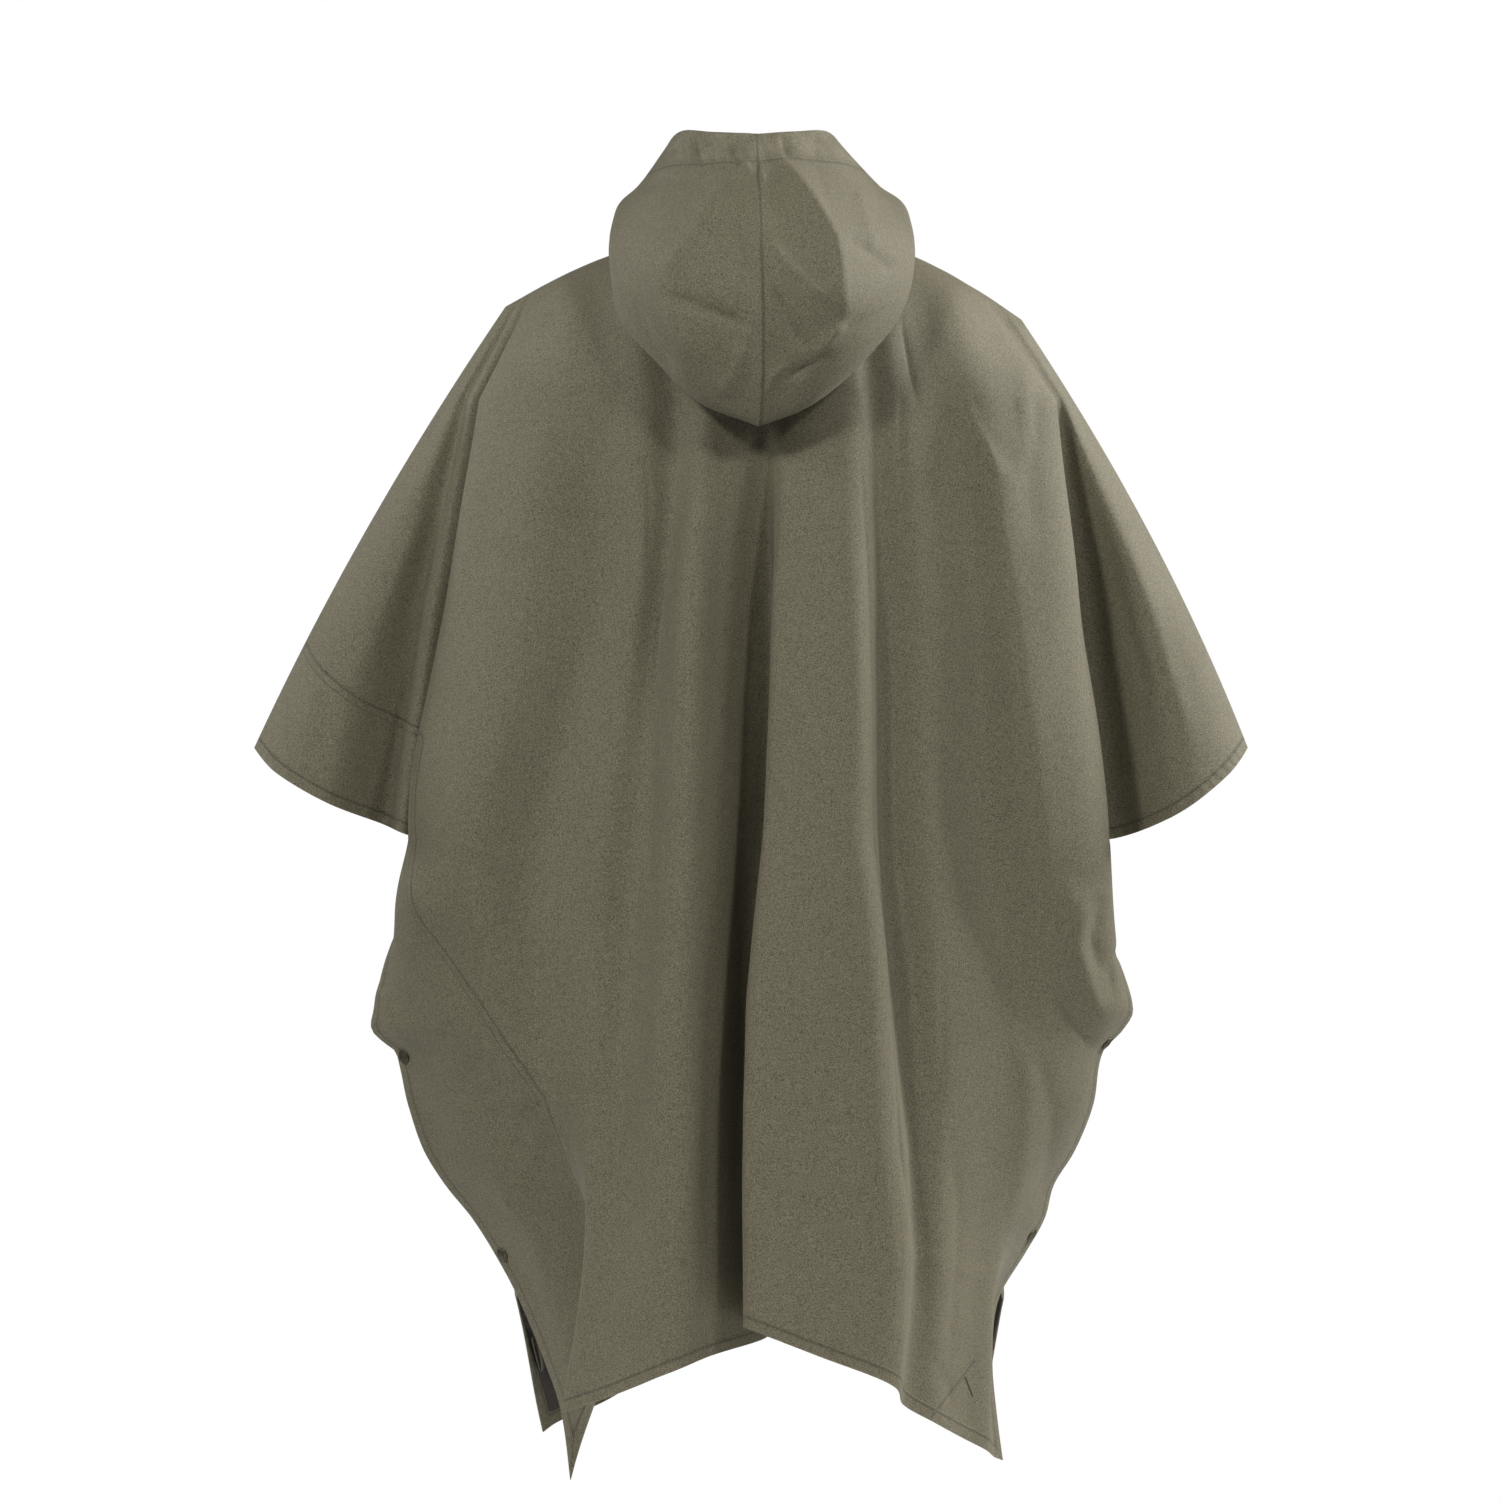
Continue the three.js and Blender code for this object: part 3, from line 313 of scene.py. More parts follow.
# How far in from the edge a snap sits, and the radii of its hidden parts. Then the loop of tape: its height,
# how far in from the line beside the edge it starts, its width and length, how far behind the front it hangs
# and how wide it opens.
SNAP_PARTS = {"inset": 12.0, "collar_radius": 5.4, "plate_radius": 6.4}
TAPE = {"z": -1120, "from": 2, "width": 8, "length": 36, "behind": 4.6, "open": 5}

# Added to the distance from a seam, in mm: none is stitched on the strip and the hood's left half, and on the
# right half the row of stitches runs beside the middle seam.
OFF_SEAM = {"strip": 1000, "left": 30, "right": 5.9}

# Stitching and weave, in metres: where a row lies, the two distances between which a thread, a groove or the
# slit fades in, and the step from one thread, rib or pucker to the next.
ROW_IN_HEM, ROW_BESIDE_SEAM = 0.0015, 0.0082
THREAD, GROOVE, SLIT = (0.0007, 0.0003), (0.0022, 0.0002), (0.0012, 0.0004)
WEAVE_PITCH, RIB_PITCH, PUCKER_PITCH = 0.0011, 0.0016, 0.0145

# The studio, in metres and watts: the floor, the lens, the room's light, then each light with its place, width
# and power.
FLOOR = {"radius": 1.3, "z": -1.45, "roughness": 0.9}
LENS, SENSOR, LOOK_AT = 120, 36, (0, 0, -0.5)
ROOM, ROOM_LIGHT, LAMP = (0.96, 0.92, 1, 1), 0.07, (1, 0.98, 0.90)
LIGHTS = [
    ("high_left", (-2.1, -3.2, 1.7), 0.5, 72), ("high_right", (2.1, -3.2, 1.7), 0.5, 48),
    ("front_right", (3.2, -1.3, 1.6), 0.9, 36), ("front_left", (-3.3, -1.3, 1.6), 0.9, 46),
    ("side_right", (2.7, 0.7, 1.1), 0.7, 108), ("side_left", (-2.6, 1.2, 0.9), 0.7, 24),
]


def mix(a, b, t):
    return a + (b - a) * t


def ease(t):
    t = np.clip(t, 0, 1)
    return t * t * (3 - 2 * t)


def through(knots, values, at):
    """A smooth curve through knots that run one way."""
    knots, values = np.asarray(knots, float), np.asarray(values, float)
    if knots[1] < knots[0]:
        knots, values = knots[::-1], values[::-1]
    at = np.asarray(at, float)
    last = len(knots) - 1
    k = np.clip(np.searchsorted(knots, at, side="right") - 1, 0, last - 1)
    before, after = np.maximum(np.arange(last + 1) - 1, 0), np.minimum(np.arange(last + 1) + 1, last)
    slope = (values[after] - values[before]) / (knots[after] - knots[before])
    span = knots[k + 1] - knots[k]
    t = (at - knots[k]) / span
    rest = 1 - t
    return (
        rest * rest * (1 + 2 * t) * values[k]
        + t * t * (3 - 2 * t) * values[k + 1]
        + rest * rest * t * span * slope[k]
        - t * t * rest * span * slope[k + 1]
    )


def settled(p):
    """Points where they truly are, from where they look to be."""
    nearer = 1 + p[..., 1] / SIGHT["distance"]
    out = p.copy()
    out[..., 0] = SIGHT["x"] + (p[..., 0] - SIGHT["x"]) * nearer
    out[..., 2] = SIGHT["z"] + (p[..., 2] - SIGHT["z"]) * nearer
    return out


def arm_x(side, z):
    arm = ARMS[side]
    down = arm["z"] - z
    return arm["x"] + side * (arm["slope"] * down - arm["bend"] * down * down)


def top_point(x, facing):
    """Where a fold line starts, on the neck opening or on the shoulder line."""
    if abs(x) > NECK["half_width"]:
        return np.array([x, 0, through([r[0] for r in SHOULDER], [r[1] for r in SHOULDER], x)])
    across = min(1, abs(x) / NECK["half_width"])
    reach = math.sqrt(1 - across * across)
    z = mix(NECK["side_z"], NECK["back_z"] if facing < 0 else NECK["front_z"], reach)
    return np.array([x, NECK["forward"] * (1 - across) + facing * NECK["half_depth"] * reach, z])


def row_plan(finer):
    """Zone and part of the zone for each mesh row."""
    plan = [(0, 0.0, ZONE_ROWS[0])]
    for zone, n in enumerate(ZONE_ROWS):
        plan += [(zone, (i + 1) / finer, n) for i in range(n * finer)]
    return plan


STRIP_ROW = ZONE_ROWS[0] + ZONE_ROWS[1] + SEAM_ROW
CUFF_ROW = sum(ZONE_ROWS[:3])


def row_part(zone, i, n, cuff_z):
    if zone != 2:
        return i / n
    seam = 1 - STRIP_RISE / (ELBOW - cuff_z)
    return seam * i / SEAM_ROW if i <= SEAM_ROW else mix(seam, 1, (i - SEAM_ROW) / (n - SEAM_ROW))


def line_points(line, facing, plan):
    """A fold line's point on every row, with no number where the line has ended."""
    name, top_x = line[0], line[2]
    points = [p for p in line[3:] if isinstance(p, list)]
    ends = line[3 + len(points):]
    cuff_z, hem_z = ends[0], ends[1] if len(ends) > 1 else None
    side = -1 if top_x < 0 else 1
    top = top_point(top_x, facing)
    heights = [BLADE, ELBOW, cuff_z, UPPER_SNAP, LOWER_SNAP, hem_z][: len(points)]
    out = np.full((len(plan), 3), np.nan)
    for r, (zone, i, n) in enumerate(plan):
        if zone > 2 and hem_z is None:
            continue
        part = row_part(zone, i, n, cuff_z)
        if zone == 0:
            turn = part * math.pi / 2
            down = 1 - math.cos(turn)
            z = mix(top[2], BLADE, down)
            out[r] = (mix(top_x, points[0][0], down), mix(top[1], points[0][1], math.sin(turn)), z)
        else:
            out[r, 2] = mix(heights[zone - 1], heights[zone], part)
    z = out[:, 2]
    lower = np.array([zone > 0 for zone, _, _ in plan]) & ~np.isnan(z)
    out[lower, 0] = through(heights, [p[0] for p in points], z[lower])
    out[lower, 1] = through(heights, [p[1] for p in points], z[lower])
    if name == "ridge":
        out[:, 0], out[:, 1] = arm_x(side, z), np.where(np.isnan(z), np.nan, 0)
    column = SIDE_COLUMNS.get((side, name)) if facing < 0 else None
    if column:
        low = lower & (z <= SIDES[0][0])
        out[low, 0] = through([r[0] for r in SIDES], [r[column] for r in SIDES], z[low])
    return out


def spline(points, counts, fold_ends=False):
    """Centripetal curves through the points of every row at once: rows, points, 3."""
    first = 2 * points[:, 0] - points[:, 1]
    final = 2 * points[:, -1] - points[:, -2]
    if fold_ends:
        first = points[:, 1] * (1, -1, 1)
        final = points[:, -2] * (1, -1, 1)
    p = np.concatenate([first[:, None], points, final[:, None]], axis=1)
    gaps = np.maximum(np.sum(np.diff(p, axis=1) ** 2, axis=2) ** 0.25, 1e-4)[..., None]
    pieces = []
    for k, count in enumerate(counts):
        a, b, c, d = (p[:, k + j][:, None] for j in range(4))
        d0, d1, d2 = (gaps[:, k + j][:, None] for j in range(3))
        start = ((b - a) / d0 - (c - a) / (d0 + d1) + (c - b) / d1) * d1
        end = ((c - b) / d1 - (d - b) / (d1 + d2) + (d - c) / d2) * d1
        t = (np.arange(count) / count)[None, :, None]
        pieces.append(
            b + start * t + (3 * (c - b) - 2 * start - end) * t**2 + (2 * (b - c) + start + end) * t**3
        )
    pieces.append(points[:, -1][:, None])
    return np.concatenate(pieces, axis=1)


def line_column(table, index):
    return sum(line[1] for line in table[:index])


def find_line(table, name, start=0):
    return next(i for i, line in enumerate(table) if i >= start and line[0] == name)


def fine_column(table, name, start=0):
    """The fine grid's column of a named fold line."""
    return line_column(table, find_line(table, name, start)) * FINE["columns"]


def column_at(table, top_x):
    """The fine grid's column of the fold line that starts at this x."""
    return line_column(table, next(i for i, line in enumerate(table) if line[2] == top_x)) * FINE["columns"]


def panel_grid(table, facing, finer_rows, finer_columns):
    """The middle surface of a panel as it is seen: rows, columns, 3, in millimetres."""
    plan = row_plan(finer_rows)
    lines = np.stack([line_points(line, facing, plan) for line in table], axis=1)
    counts = [line[1] * finer_columns for line in table[:-1]]
    grid = np.full((len(plan), sum(counts) + 1, 3), np.nan)
    cuff = CUFF_ROW * finer_rows
    grid[: cuff + 1] = spline(lines[: cuff + 1], counts, fold_ends=True)
    body = [i for i, line in enumerate(table) if len(line) > 7]
    low, high = body[0], body[-1]
    start = sum(counts[:low])
    part = spline(lines[cuff + 1 :, low : high + 1], counts[low:high])
    grid[cuff + 1 :, start : start + part.shape[1]] = part
    return grid


def grid_normals(grid, sign):
    """Unit normals at the points of a grid, from the cells round each."""
    a, b, d, e = grid[:-1, :-1], grid[:-1, 1:], grid[1:, 1:], grid[1:, :-1]
    face = np.nan_to_num(np.cross(d - a, b - e))
    normals = np.zeros_like(grid)
    for rows, cols in ((slice(0, -1), slice(0, -1)), (slice(0, -1), slice(1, None)),
                       (slice(1, None), slice(1, None)), (slice(1, None), slice(0, -1))):
        normals[rows, cols] += face
    length = np.linalg.norm(normals, axis=2, keepdims=True)
    return sign * normals / np.maximum(length, 1e-9)


def crease_heights(grid, creases, keen=1.5):
    """How far the creases lift each point of a grid, in millimetres. A narrow or keen one comes to a line."""
    x, z = grid[..., 0], grid[..., 2]
    lift = np.zeros(x.shape)
    for _, width, depth, left, right, points in creases:
        path = np.array(points, float)
        steps = np.linalg.norm(np.diff(path, axis=0), axis=1)
        total, gone = steps.sum(), 0.0
        nearest = np.full(x.shape, np.inf)
        along = np.zeros(x.shape)
        side = np.zeros(x.shape)
        for (ax, az), (bx, bz), step in zip(path[:-1], path[1:], steps):
            ux, uz = (bx - ax) / step, (bz - az) / step
            s = np.clip((x - ax) * ux + (z - az) * uz, 0, step)
            dx, dz = x - (ax + s * ux), z - (az + s * uz)
            dist = np.hypot(dx, dz)
            closer = dist < nearest
            nearest = np.where(closer, dist, nearest)
            along = np.where(closer, gone + s, along)
            side = np.where(closer, np.sign(dx), side)
            gone += step
        fade = ease(along / (0.25 * total)) * ease((total - along) / (0.25 * total))
        sharp = np.where(side < 0, left, right)
        power = min(keen, 1.1) if width <= 7 else keen
        lift += np.nan_to_num(depth * fade * np.exp(-((nearest * sharp / width) ** power)))
    return lift


def ripples(grid, seed, depth):
    """Slow uneven swells, long down the cloth and short across it."""
    rng = np.random.default_rng(seed)
    x, z = grid[..., 0], grid[..., 2]
    swell = np.zeros(x.shape)
    for _ in range(16):
        across, down = rng.uniform(45, 130), rng.uniform(170, 520)
        phase, lean = rng.uniform(0, 2 * math.pi, 2), rng.uniform(-0.25, 0.25)
        swell += rng.uniform(0.3, 1) * np.sin((x + lean * z) * 2 * math.pi / across + phase[0]) * np.sin(
            z * 2 * math.pi / down + phase[1])
    return np.nan_to_num(swell) * depth / 3


# ---- Surfaces ----

SURFACES = {}


def seen(p):
    """Where points look to be, from where they truly are."""
    nearer = 1 + p[..., 1] / SIGHT["distance"]
    return (p[..., 0] - SIGHT["x"]) / nearer + SIGHT["x"], (p[..., 2] - SIGHT["z"]) / nearer + SIGHT["z"]


def creased(grid, sign, creases, seed, sizes, still, keen=1.5):
    """A grid with its creases and swells in it, and its normals. Nothing moves where still is 0."""
    normals = grid_normals(grid, sign)
    x, z = seen(grid)
    looks = np.stack([x, grid[..., 1], z], axis=2)
    depth = crease_heights(looks, creases, keen) * sizes.crease_depth
    depth = depth + ripples(looks, seed, sizes.swell_depth / MM)
    moved = grid + normals * (depth * still)[..., None]
    return moved, grid_normals(moved, sign)


def along_line(points):
    steps = np.linalg.norm(np.diff(points, axis=0), axis=1)
    return np.concatenate([[0], np.cumsum(steps)])


def inside_edge(grid, normals, edge, step, row, insets):
    """Points and normals this far in from a side edge, along one row or between two."""
    r = min(int(row), len(grid) - 2)
    t = row - r
    columns = edge + step * np.arange(EDGE_COLUMNS)
    line = mix(grid[r, columns], grid[r + 1, columns], t)
    facing = mix(normals[r, columns], normals[r + 1, columns], t)
    gone = along_line(line)
    insets = np.asarray(insets, float)
    points = np.stack([np.interp(insets, gone, line[:, k]) for k in range(3)], axis=-1)
    turned = np.stack([np.interp(insets, gone, facing[:, k]) for k in range(3)], axis=-1)
    out = np.minimum(insets, 0)[..., None] * (line[3] - line[0]) / gone[3]
    return points + out, turned / np.linalg.norm(turned, axis=-1, keepdims=True)


def tucked(front, back, normals):
    """The front with its side edges laid inside the back's, where the snaps hold them."""
    fine = FINE["columns"]
    front = front.copy()
    for start, step in ((0, 1), (RIGHT_LINES, -1)):
        front_edge, back_edge = fine_column(FRONT, "edge", start), fine_column(BACK, "edge", start)
        insets = np.interp(np.arange(3 * fine + 1) / fine, range(4), TUCK["insets"])
        columns = front_edge + step * np.arange(3 * fine + 1)
        for r in range(CUFF_ROW * FINE["rows"], len(front)):
            z = back[r, back_edge, 2]
            hold = ease((TUCK["from"] - z) / (TUCK["from"] - TUCK["full"])) * ease(
                (z - TUCK["to"]) / (TUCK["full_end"] - TUCK["to"]))
            if hold > 0:
                points, facing = inside_edge(back, normals, back_edge, step, r, insets)
                front[r, columns] = mix(front[r, columns], points - facing * TUCK["apart"], hold)
        soft = front_edge + step * np.arange(int(2.3 * fine), int(4.6 * fine))
        low = slice(CUFF_ROW * FINE["rows"] + 1, None)
        for _ in range(10):
            front[low, soft] = (front[low, soft - 1] + 2 * front[low, soft] + front[low, soft + 1]) / 4
    return front


def neck_edge(side, panels):
    """The neck edge from the middle of the back round to the throat: points, normals, angles."""
    def quarter(table, grid, normals):
        columns = np.arange(column_at(table, 0), column_at(table, side * NECK["half_width"]) + side, side)
        points = grid[0, columns]
        gone = along_line(points)
        return points, normals[0, columns], 90 * gone / gone[-1]

    behind = quarter(BACK, *panels["back"])
    ahead = quarter(FRONT, *panels["front"])
    points = np.concatenate([behind[0], ahead[0][::-1][1:]])
    normals = np.concatenate([behind[1], ahead[1][::-1][1:]])
    return points, normals, np.concatenate([behind[2], 180 - ahead[2][::-1][1:]])


def hood_grid(side, panels):
    """One half of the hood, from the neck seam to the rim in rows."""
    points, normals, angles = neck_edge(side, panels)
    knots = [row[0] for row in HOOD]
    seam = points + normals * (LAYER + NECK["ease"])
    reach = through(knots, [row[1][0] for row in HOOD], angles)[:, None]
    level = seam * (1, 1, 0)
    stand = seam + level / np.linalg.norm(level, axis=1, keepdims=True) * reach
    stand[:, 2] += through(knots, [row[1][1] for row in HOOD], angles)
    lines = [seam, stand]
    for i, shift in enumerate(HOOD_SHIFT):
        at = [through(knots, [row[i + 2][axis] for row in HOOD], angles) for axis in range(3)]
        at[0] = side * at[0] + shift * ease(2 - angles / 90)
        lines.append(settled(np.stack(at, axis=1)))
    curves = spline(np.stack(lines, axis=1), [FINE["hood_along"] // 7] * 7)
    return np.swapaxes(curves, 0, 1)


def surfaces():
    """The middle surfaces of all the cloth, worked out once."""
    if SURFACES:
        return SURFACES
    sizes = bpy.context.scene.poncho_sizes
    panels = {}
    for name, table, facing, creases, seed in (
        ("back", BACK, -1, BACK_CREASES, 4), ("front", FRONT, 1, FRONT_CREASES, 9)):
        grid = settled(panel_grid(table, facing, FINE["rows"], FINE["columns"]))
        rows, columns = np.indices(grid.shape[:2])
        ridges = ease(np.minimum(columns, columns.max() - columns) / (1.6 * FINE["columns"]))
        still = np.where(rows <= CUFF_ROW * FINE["rows"], ridges, 1) * ease(rows / (2.5 * FINE["rows"]))
        panels[name] = creased(grid, -facing, creases, seed, sizes, still)
    front = tucked(panels["front"][0], *panels["back"])
    panels["front"] = (front, grid_normals(front, -1))
    for name, side in (("left", -1), ("right", 1)):
        grid = hood_grid(side, panels)
        rows, columns = np.indices(grid.shape[:2])
        still = ease(columns / 5) * ease((columns.max() - columns) / 8) * ease(rows / 20)
        grid, normals = creased(grid, -side, HOOD_CREASES, 20 + side, sizes, still, keen=1.0)
        for column in (0, -1):
            normals[:, column, 0] = 0
            normals[:, column] /= np.linalg.norm(normals[:, column], axis=1, keepdims=True)
        panels["hood_" + name] = (grid, normals)
    SURFACES.update(panels)
    return SURFACES


# ---- Meshes ----


def mesh_of(bm, name, finishes):
    """A mesh of what was modelled, with its finishes."""
    mesh = bpy.data.meshes.new(name)
    bm.to_mesh(mesh)
    bm.free()
    for finish in finishes:
        mesh.materials.append(FINISHES[finish])
    return mesh


def add_object(name, data):
    obj = bpy.data.objects.new(name, data)
    bpy.context.scene.collection.objects.link(obj)
    return obj


def distances(points, path):
    """Distance of each point to a path and how far along the path it lies, in millimetres."""
    gone = along_line(path)
    at = np.arange(0, gone[-1], PATH_STEP)
    tree = KDTree(len(at))
    for i, s in enumerate(at):
        tree.insert([np.interp(s, gone, path[:, k]) for k in range(3)], i)
    tree.balance()
    found = [tree.find(p) for p in points]
    return np.array([f[2] for f in found]), at[[f[1] for f in found]]


def cloth_object(name, grid, normals, cells, marks, finishes, thickness=CLOTH):
    """A closed thin shell over the grid cells that belong to a piece. Marks are values on its points."""
    rows, columns = grid.shape[:2]
    bm = bmesh.new()
    bmesh.ops.create_grid(bm, x_segments=columns - 1, y_segments=rows - 1, size=1)
    place, inner = bm.verts.layers.int.new("place"), bm.verts.layers.int.new("inner")
    flat, out = np.nan_to_num(grid.reshape(-1, 3)), np.nan_to_num(normals.reshape(-1, 3))
    for v in bm.verts:
        v[place] = v.index
        v.co = (flat[v.index] + out[v.index] * thickness / 2) * MM
    bm.faces.ensure_lookup_table()
    keep = cells.ravel()
    bmesh.ops.delete(bm, geom=[f for f in bm.faces if not keep[f.index]], context="FACES")
    bm.normal_update()
    facing = sum(f.normal.dot(Vector(out[f.verts[0][place]])) for f in bm.faces)
    if facing < 0:
        bmesh.ops.reverse_faces(bm, faces=bm.faces)
    whole = bm.faces[:] + bm.edges[:] + bm.verts[:]
    for v in bmesh.ops.extrude_face_region(bm, geom=whole, use_keep_orig=True)["geom"]:
        if isinstance(v, bmesh.types.BMVert):
            v[inner] = 1
            v.co = (flat[v[place]] - out[v[place]] * thickness / 2) * MM
    bmesh.ops.recalc_face_normals(bm, faces=bm.faces)
    if bm.calc_volume(signed=True) < 0:
        bmesh.ops.reverse_faces(bm, faces=bm.faces)
    for f in bm.faces:
        inside = sum(v[inner] for v in f.verts)
        f.smooth = True
        f.material_index = 1 if inside == len(f.verts) else 0
        if 0 < inside < len(f.verts):
            for e in f.edges:
                if e.verts[0][inner] == e.verts[1][inner]:
                    e.smooth = False
    mesh = mesh_of(bm, name, finishes)
    places = np.zeros(len(mesh.vertices), int)
    mesh.attributes["place"].data.foreach_get("value", places)
    for mark, values in marks.items():
        if mark != "uv":
            mesh.attributes.new(mark, "FLOAT", "POINT").data.foreach_set("value", values.ravel()[places] * MM)
    corners = np.zeros(len(mesh.loops), int)
    mesh.loops.foreach_get("vertex_index", corners)
    uv = marks["uv"].reshape(-1, 2)[places[corners]] * MM
    mesh.uv_layers.new(name="cut").data.foreach_set("uv", uv.astype(np.float32).ravel())
    for extra in ("place", "inner"):
        mesh.attributes.remove(mesh.attributes[extra])
    return add_object(name, mesh)


def cut_map(grid, middle):
    """Where each point lay in the flat cloth: across from the middle column, and down."""
    across = np.nan_to_num(np.linalg.norm(np.diff(grid, axis=1), axis=2))
    down = np.nan_to_num(np.linalg.norm(np.diff(grid, axis=0), axis=2))
    u = np.concatenate([np.zeros((len(grid), 1)), np.cumsum(across, axis=1)], axis=1)
    u -= u[:, middle : middle + 1]
    v = np.concatenate([np.zeros((1, grid.shape[1])), np.cumsum(down, axis=0)], axis=0)
    return np.stack([u, -v], axis=2)


def marked(grid, paths, middle):
    """Marks for a cloth's points: how far from each path, and how far along it."""
    flat = np.nan_to_num(grid.reshape(-1, 3))
    marks = {"uv": np.nan_to_num(cut_map(grid, middle))}
    for name, path in paths.items():
        marks[name], marks[name + "_along"] = distances(flat, path)
    return marks


def line_marks(grid, name, start, end):
    """Marks of a straight line as seen: how far across it each point lies, to which side, and how far along."""
    x, z = seen(grid)
    run = np.array(end) - start
    run = run / np.linalg.norm(run)
    off_x, off_z = np.nan_to_num(x - start[0]).ravel(), np.nan_to_num(z - start[1]).ravel()
    return {name: off_x * run[1] - off_z * run[0], name + "_along": off_x * run[0] + off_z * run[1]}


def solid_cells(grid):
    """Cells that have all four of their corners."""
    there = ~np.isnan(grid[..., 0])
    return there[:-1, :-1] & there[:-1, 1:] & there[1:, 1:] & there[1:, :-1]


def settle_piece(obj, nodes):
    """Puts a finished piece on the garment in place of its solids."""
    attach(obj, "root")
    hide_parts(*nodes)
    return obj


def solids(*starts):
    return [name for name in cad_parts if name.startswith(starts)]


# ---- Finishes ----

FINISHES = {}


class Value:
    """A number that varies over a surface, for use in plain expressions."""

    def __init__(self, tree, socket):
        self.tree, self.socket = tree, socket

    def _math(self, operation, *values):
        node = self.tree.nodes.new("ShaderNodeMath")
        node.operation = operation
        for slot, value in zip(node.inputs, values):
            if isinstance(value, Value):
                self.tree.links.new(value.socket, slot)
            else:
                slot.default_value = value
        return Value(self.tree, node.outputs[0])

    def __add__(self, other):
        return self._math("ADD", self, other)

    __radd__ = __add__

    def __sub__(self, other):
        return self._math("SUBTRACT", self, other)

    def __rsub__(self, other):
        return self._math("SUBTRACT", other, self)

    def __mul__(self, other):
        return self._math("MULTIPLY", self, other)

    __rmul__ = __mul__

    def absolute(self):
        return self._math("ABSOLUTE", self)

    def most(self, other):
        return self._math("MAXIMUM", self, other)

    def wave(self):
        return self._math("SINE", self)

    def step(self, low, high):
        """0 below low and 1 above high, smooth between them. With high under low it runs the other way."""
        node = self.tree.nodes.new("ShaderNodeMapRange")
        node.interpolation_type = "SMOOTHSTEP"
        turned = high < low
        for slot, value in (("From Min", min(low, high)), ("From Max", max(low, high)),
                            ("To Min", 1.0 if turned else 0.0), ("To Max", 0.0 if turned else 1.0)):
            node.inputs[slot].default_value = value
        self.tree.links.new(self.socket, node.inputs["Value"])
        return Value(self.tree, node.outputs["Result"])


class Finish:
    """A material under construction."""

    def __init__(self, name):
        self.material = bpy.data.materials.new(name)
        self.material.use_nodes = True
        self.tree = self.material.node_tree
        self.shader = self.tree.nodes["Principled BSDF"]
        FINISHES[name] = self.material

    def node(self, kind, output=0, settings=None, **values):
        node = self.tree.nodes.new(kind)
        for key, value in (settings or {}).items():
            setattr(node, key, value)
        for key, value in values.items():
            slot = node.inputs[key.replace("_", " ")]
            if isinstance(value, Value):
                self.tree.links.new(value.socket, slot)
            else:
                slot.default_value = value
        return Value(self.tree, node.outputs[output])

    def mark(self, name):
        return self.node("ShaderNodeAttribute", "Fac", {"attribute_name": name})

    def within(self, name, span):
        """1 between the ends of a straight line's marks."""
        along = self.mark(name + "_along")
        return along.step(0.0004, 0.0010) * along.step(span, span - 0.0006)

    def cut(self):
        """Where a point lay in the flat cloth."""
        return self.node("ShaderNodeUVMap", "UV", {"uv_map": "cut"})

    def across_and_down(self):
        """How far across and how far down the flat cloth."""
        across = self.node("ShaderNodeSeparateXYZ", "X", Vector=self.cut())
        return across, Value(self.tree, across.socket.node.outputs["Y"])

    def noise(self, scale, detail=2.0, roughness=0.5, where=None):
        where = where or self.node("ShaderNodeTexCoord", "Object")
        return self.node(
            "ShaderNodeTexNoise", "Fac", Vector=where, Scale=scale, Detail=detail, Roughness=roughness)

    def slubs(self, scale, stretch):
        """Uneven threads that run across and down the flat cloth."""
        cut, runs = self.cut(), []
        for shape in ((scale / stretch, scale * 2, 1), (scale * 2, scale / stretch, 1)):
            turned = self.tree.nodes.new("ShaderNodeMapping")
            turned.inputs["Scale"].default_value = shape
            self.tree.links.new(cut.socket, turned.inputs["Vector"])
            runs.append(self.noise(1.0, 2.0, 0.6, Value(self.tree, turned.outputs[0])))
        return (runs[0] + runs[1]) * 0.5

    def blend(self, factor, a, b):
        node = self.tree.nodes.new("ShaderNodeMix")
        node.data_type = "RGBA"
        for slot, value in ((node.inputs[0], factor), (node.inputs[6], a), (node.inputs[7], b)):
            if isinstance(value, Value):
                self.tree.links.new(value.socket, slot)
            else:
                slot.default_value = value
        return Value(self.tree, node.outputs[2])

    def shaded(self, colour, amount):
        """A colour made lighter or darker by a varying amount round 1."""
        node = self.tree.nodes.new("ShaderNodeVectorMath")
        node.operation = "SCALE"
        self.tree.links.new(colour.socket, node.inputs[0])
        self.tree.links.new(amount.socket, node.inputs["Scale"])
        return Value(self.tree, node.outputs[0])

    def surface(self, colour, roughness, height, distance, **fixed):
        for slot, value in (("Base Color", colour), ("Roughness", roughness)):
            self.tree.links.new(value.socket, self.shader.inputs[slot])
        bump = self.node("ShaderNodeBump", "Normal", Height=height, Distance=distance, Strength=1.0)
        self.tree.links.new(bump.socket, self.shader.inputs["Normal"])
        for key, value in fixed.items():
            self.shader.inputs[key.replace("_", " ")].default_value = value


def weave(finish):
    """Height of the threads, from the flat cloth's own coordinates."""
    across, down = finish.across_and_down()
    turn = 2 * math.pi / WEAVE_PITCH
    return (across * turn).wave() * (down * turn).wave()


def stitch_line(edge, along, inset, length):
    """1 on the threads of a stitch line this far from an edge."""
    close = (edge - inset).absolute().step(*THREAD)
    dash = (along * (2 * math.pi / length)).wave().step(-0.35, -0.1)
    return close * dash


def stitch_groove(edge, inset):
    """1 in the middle of the groove that a row of stitches pulls into the cloth; the mask dents the cloth and
    also darkens its colour as painted shade.
    """
    return (edge - inset).absolute().step(*GROOVE)


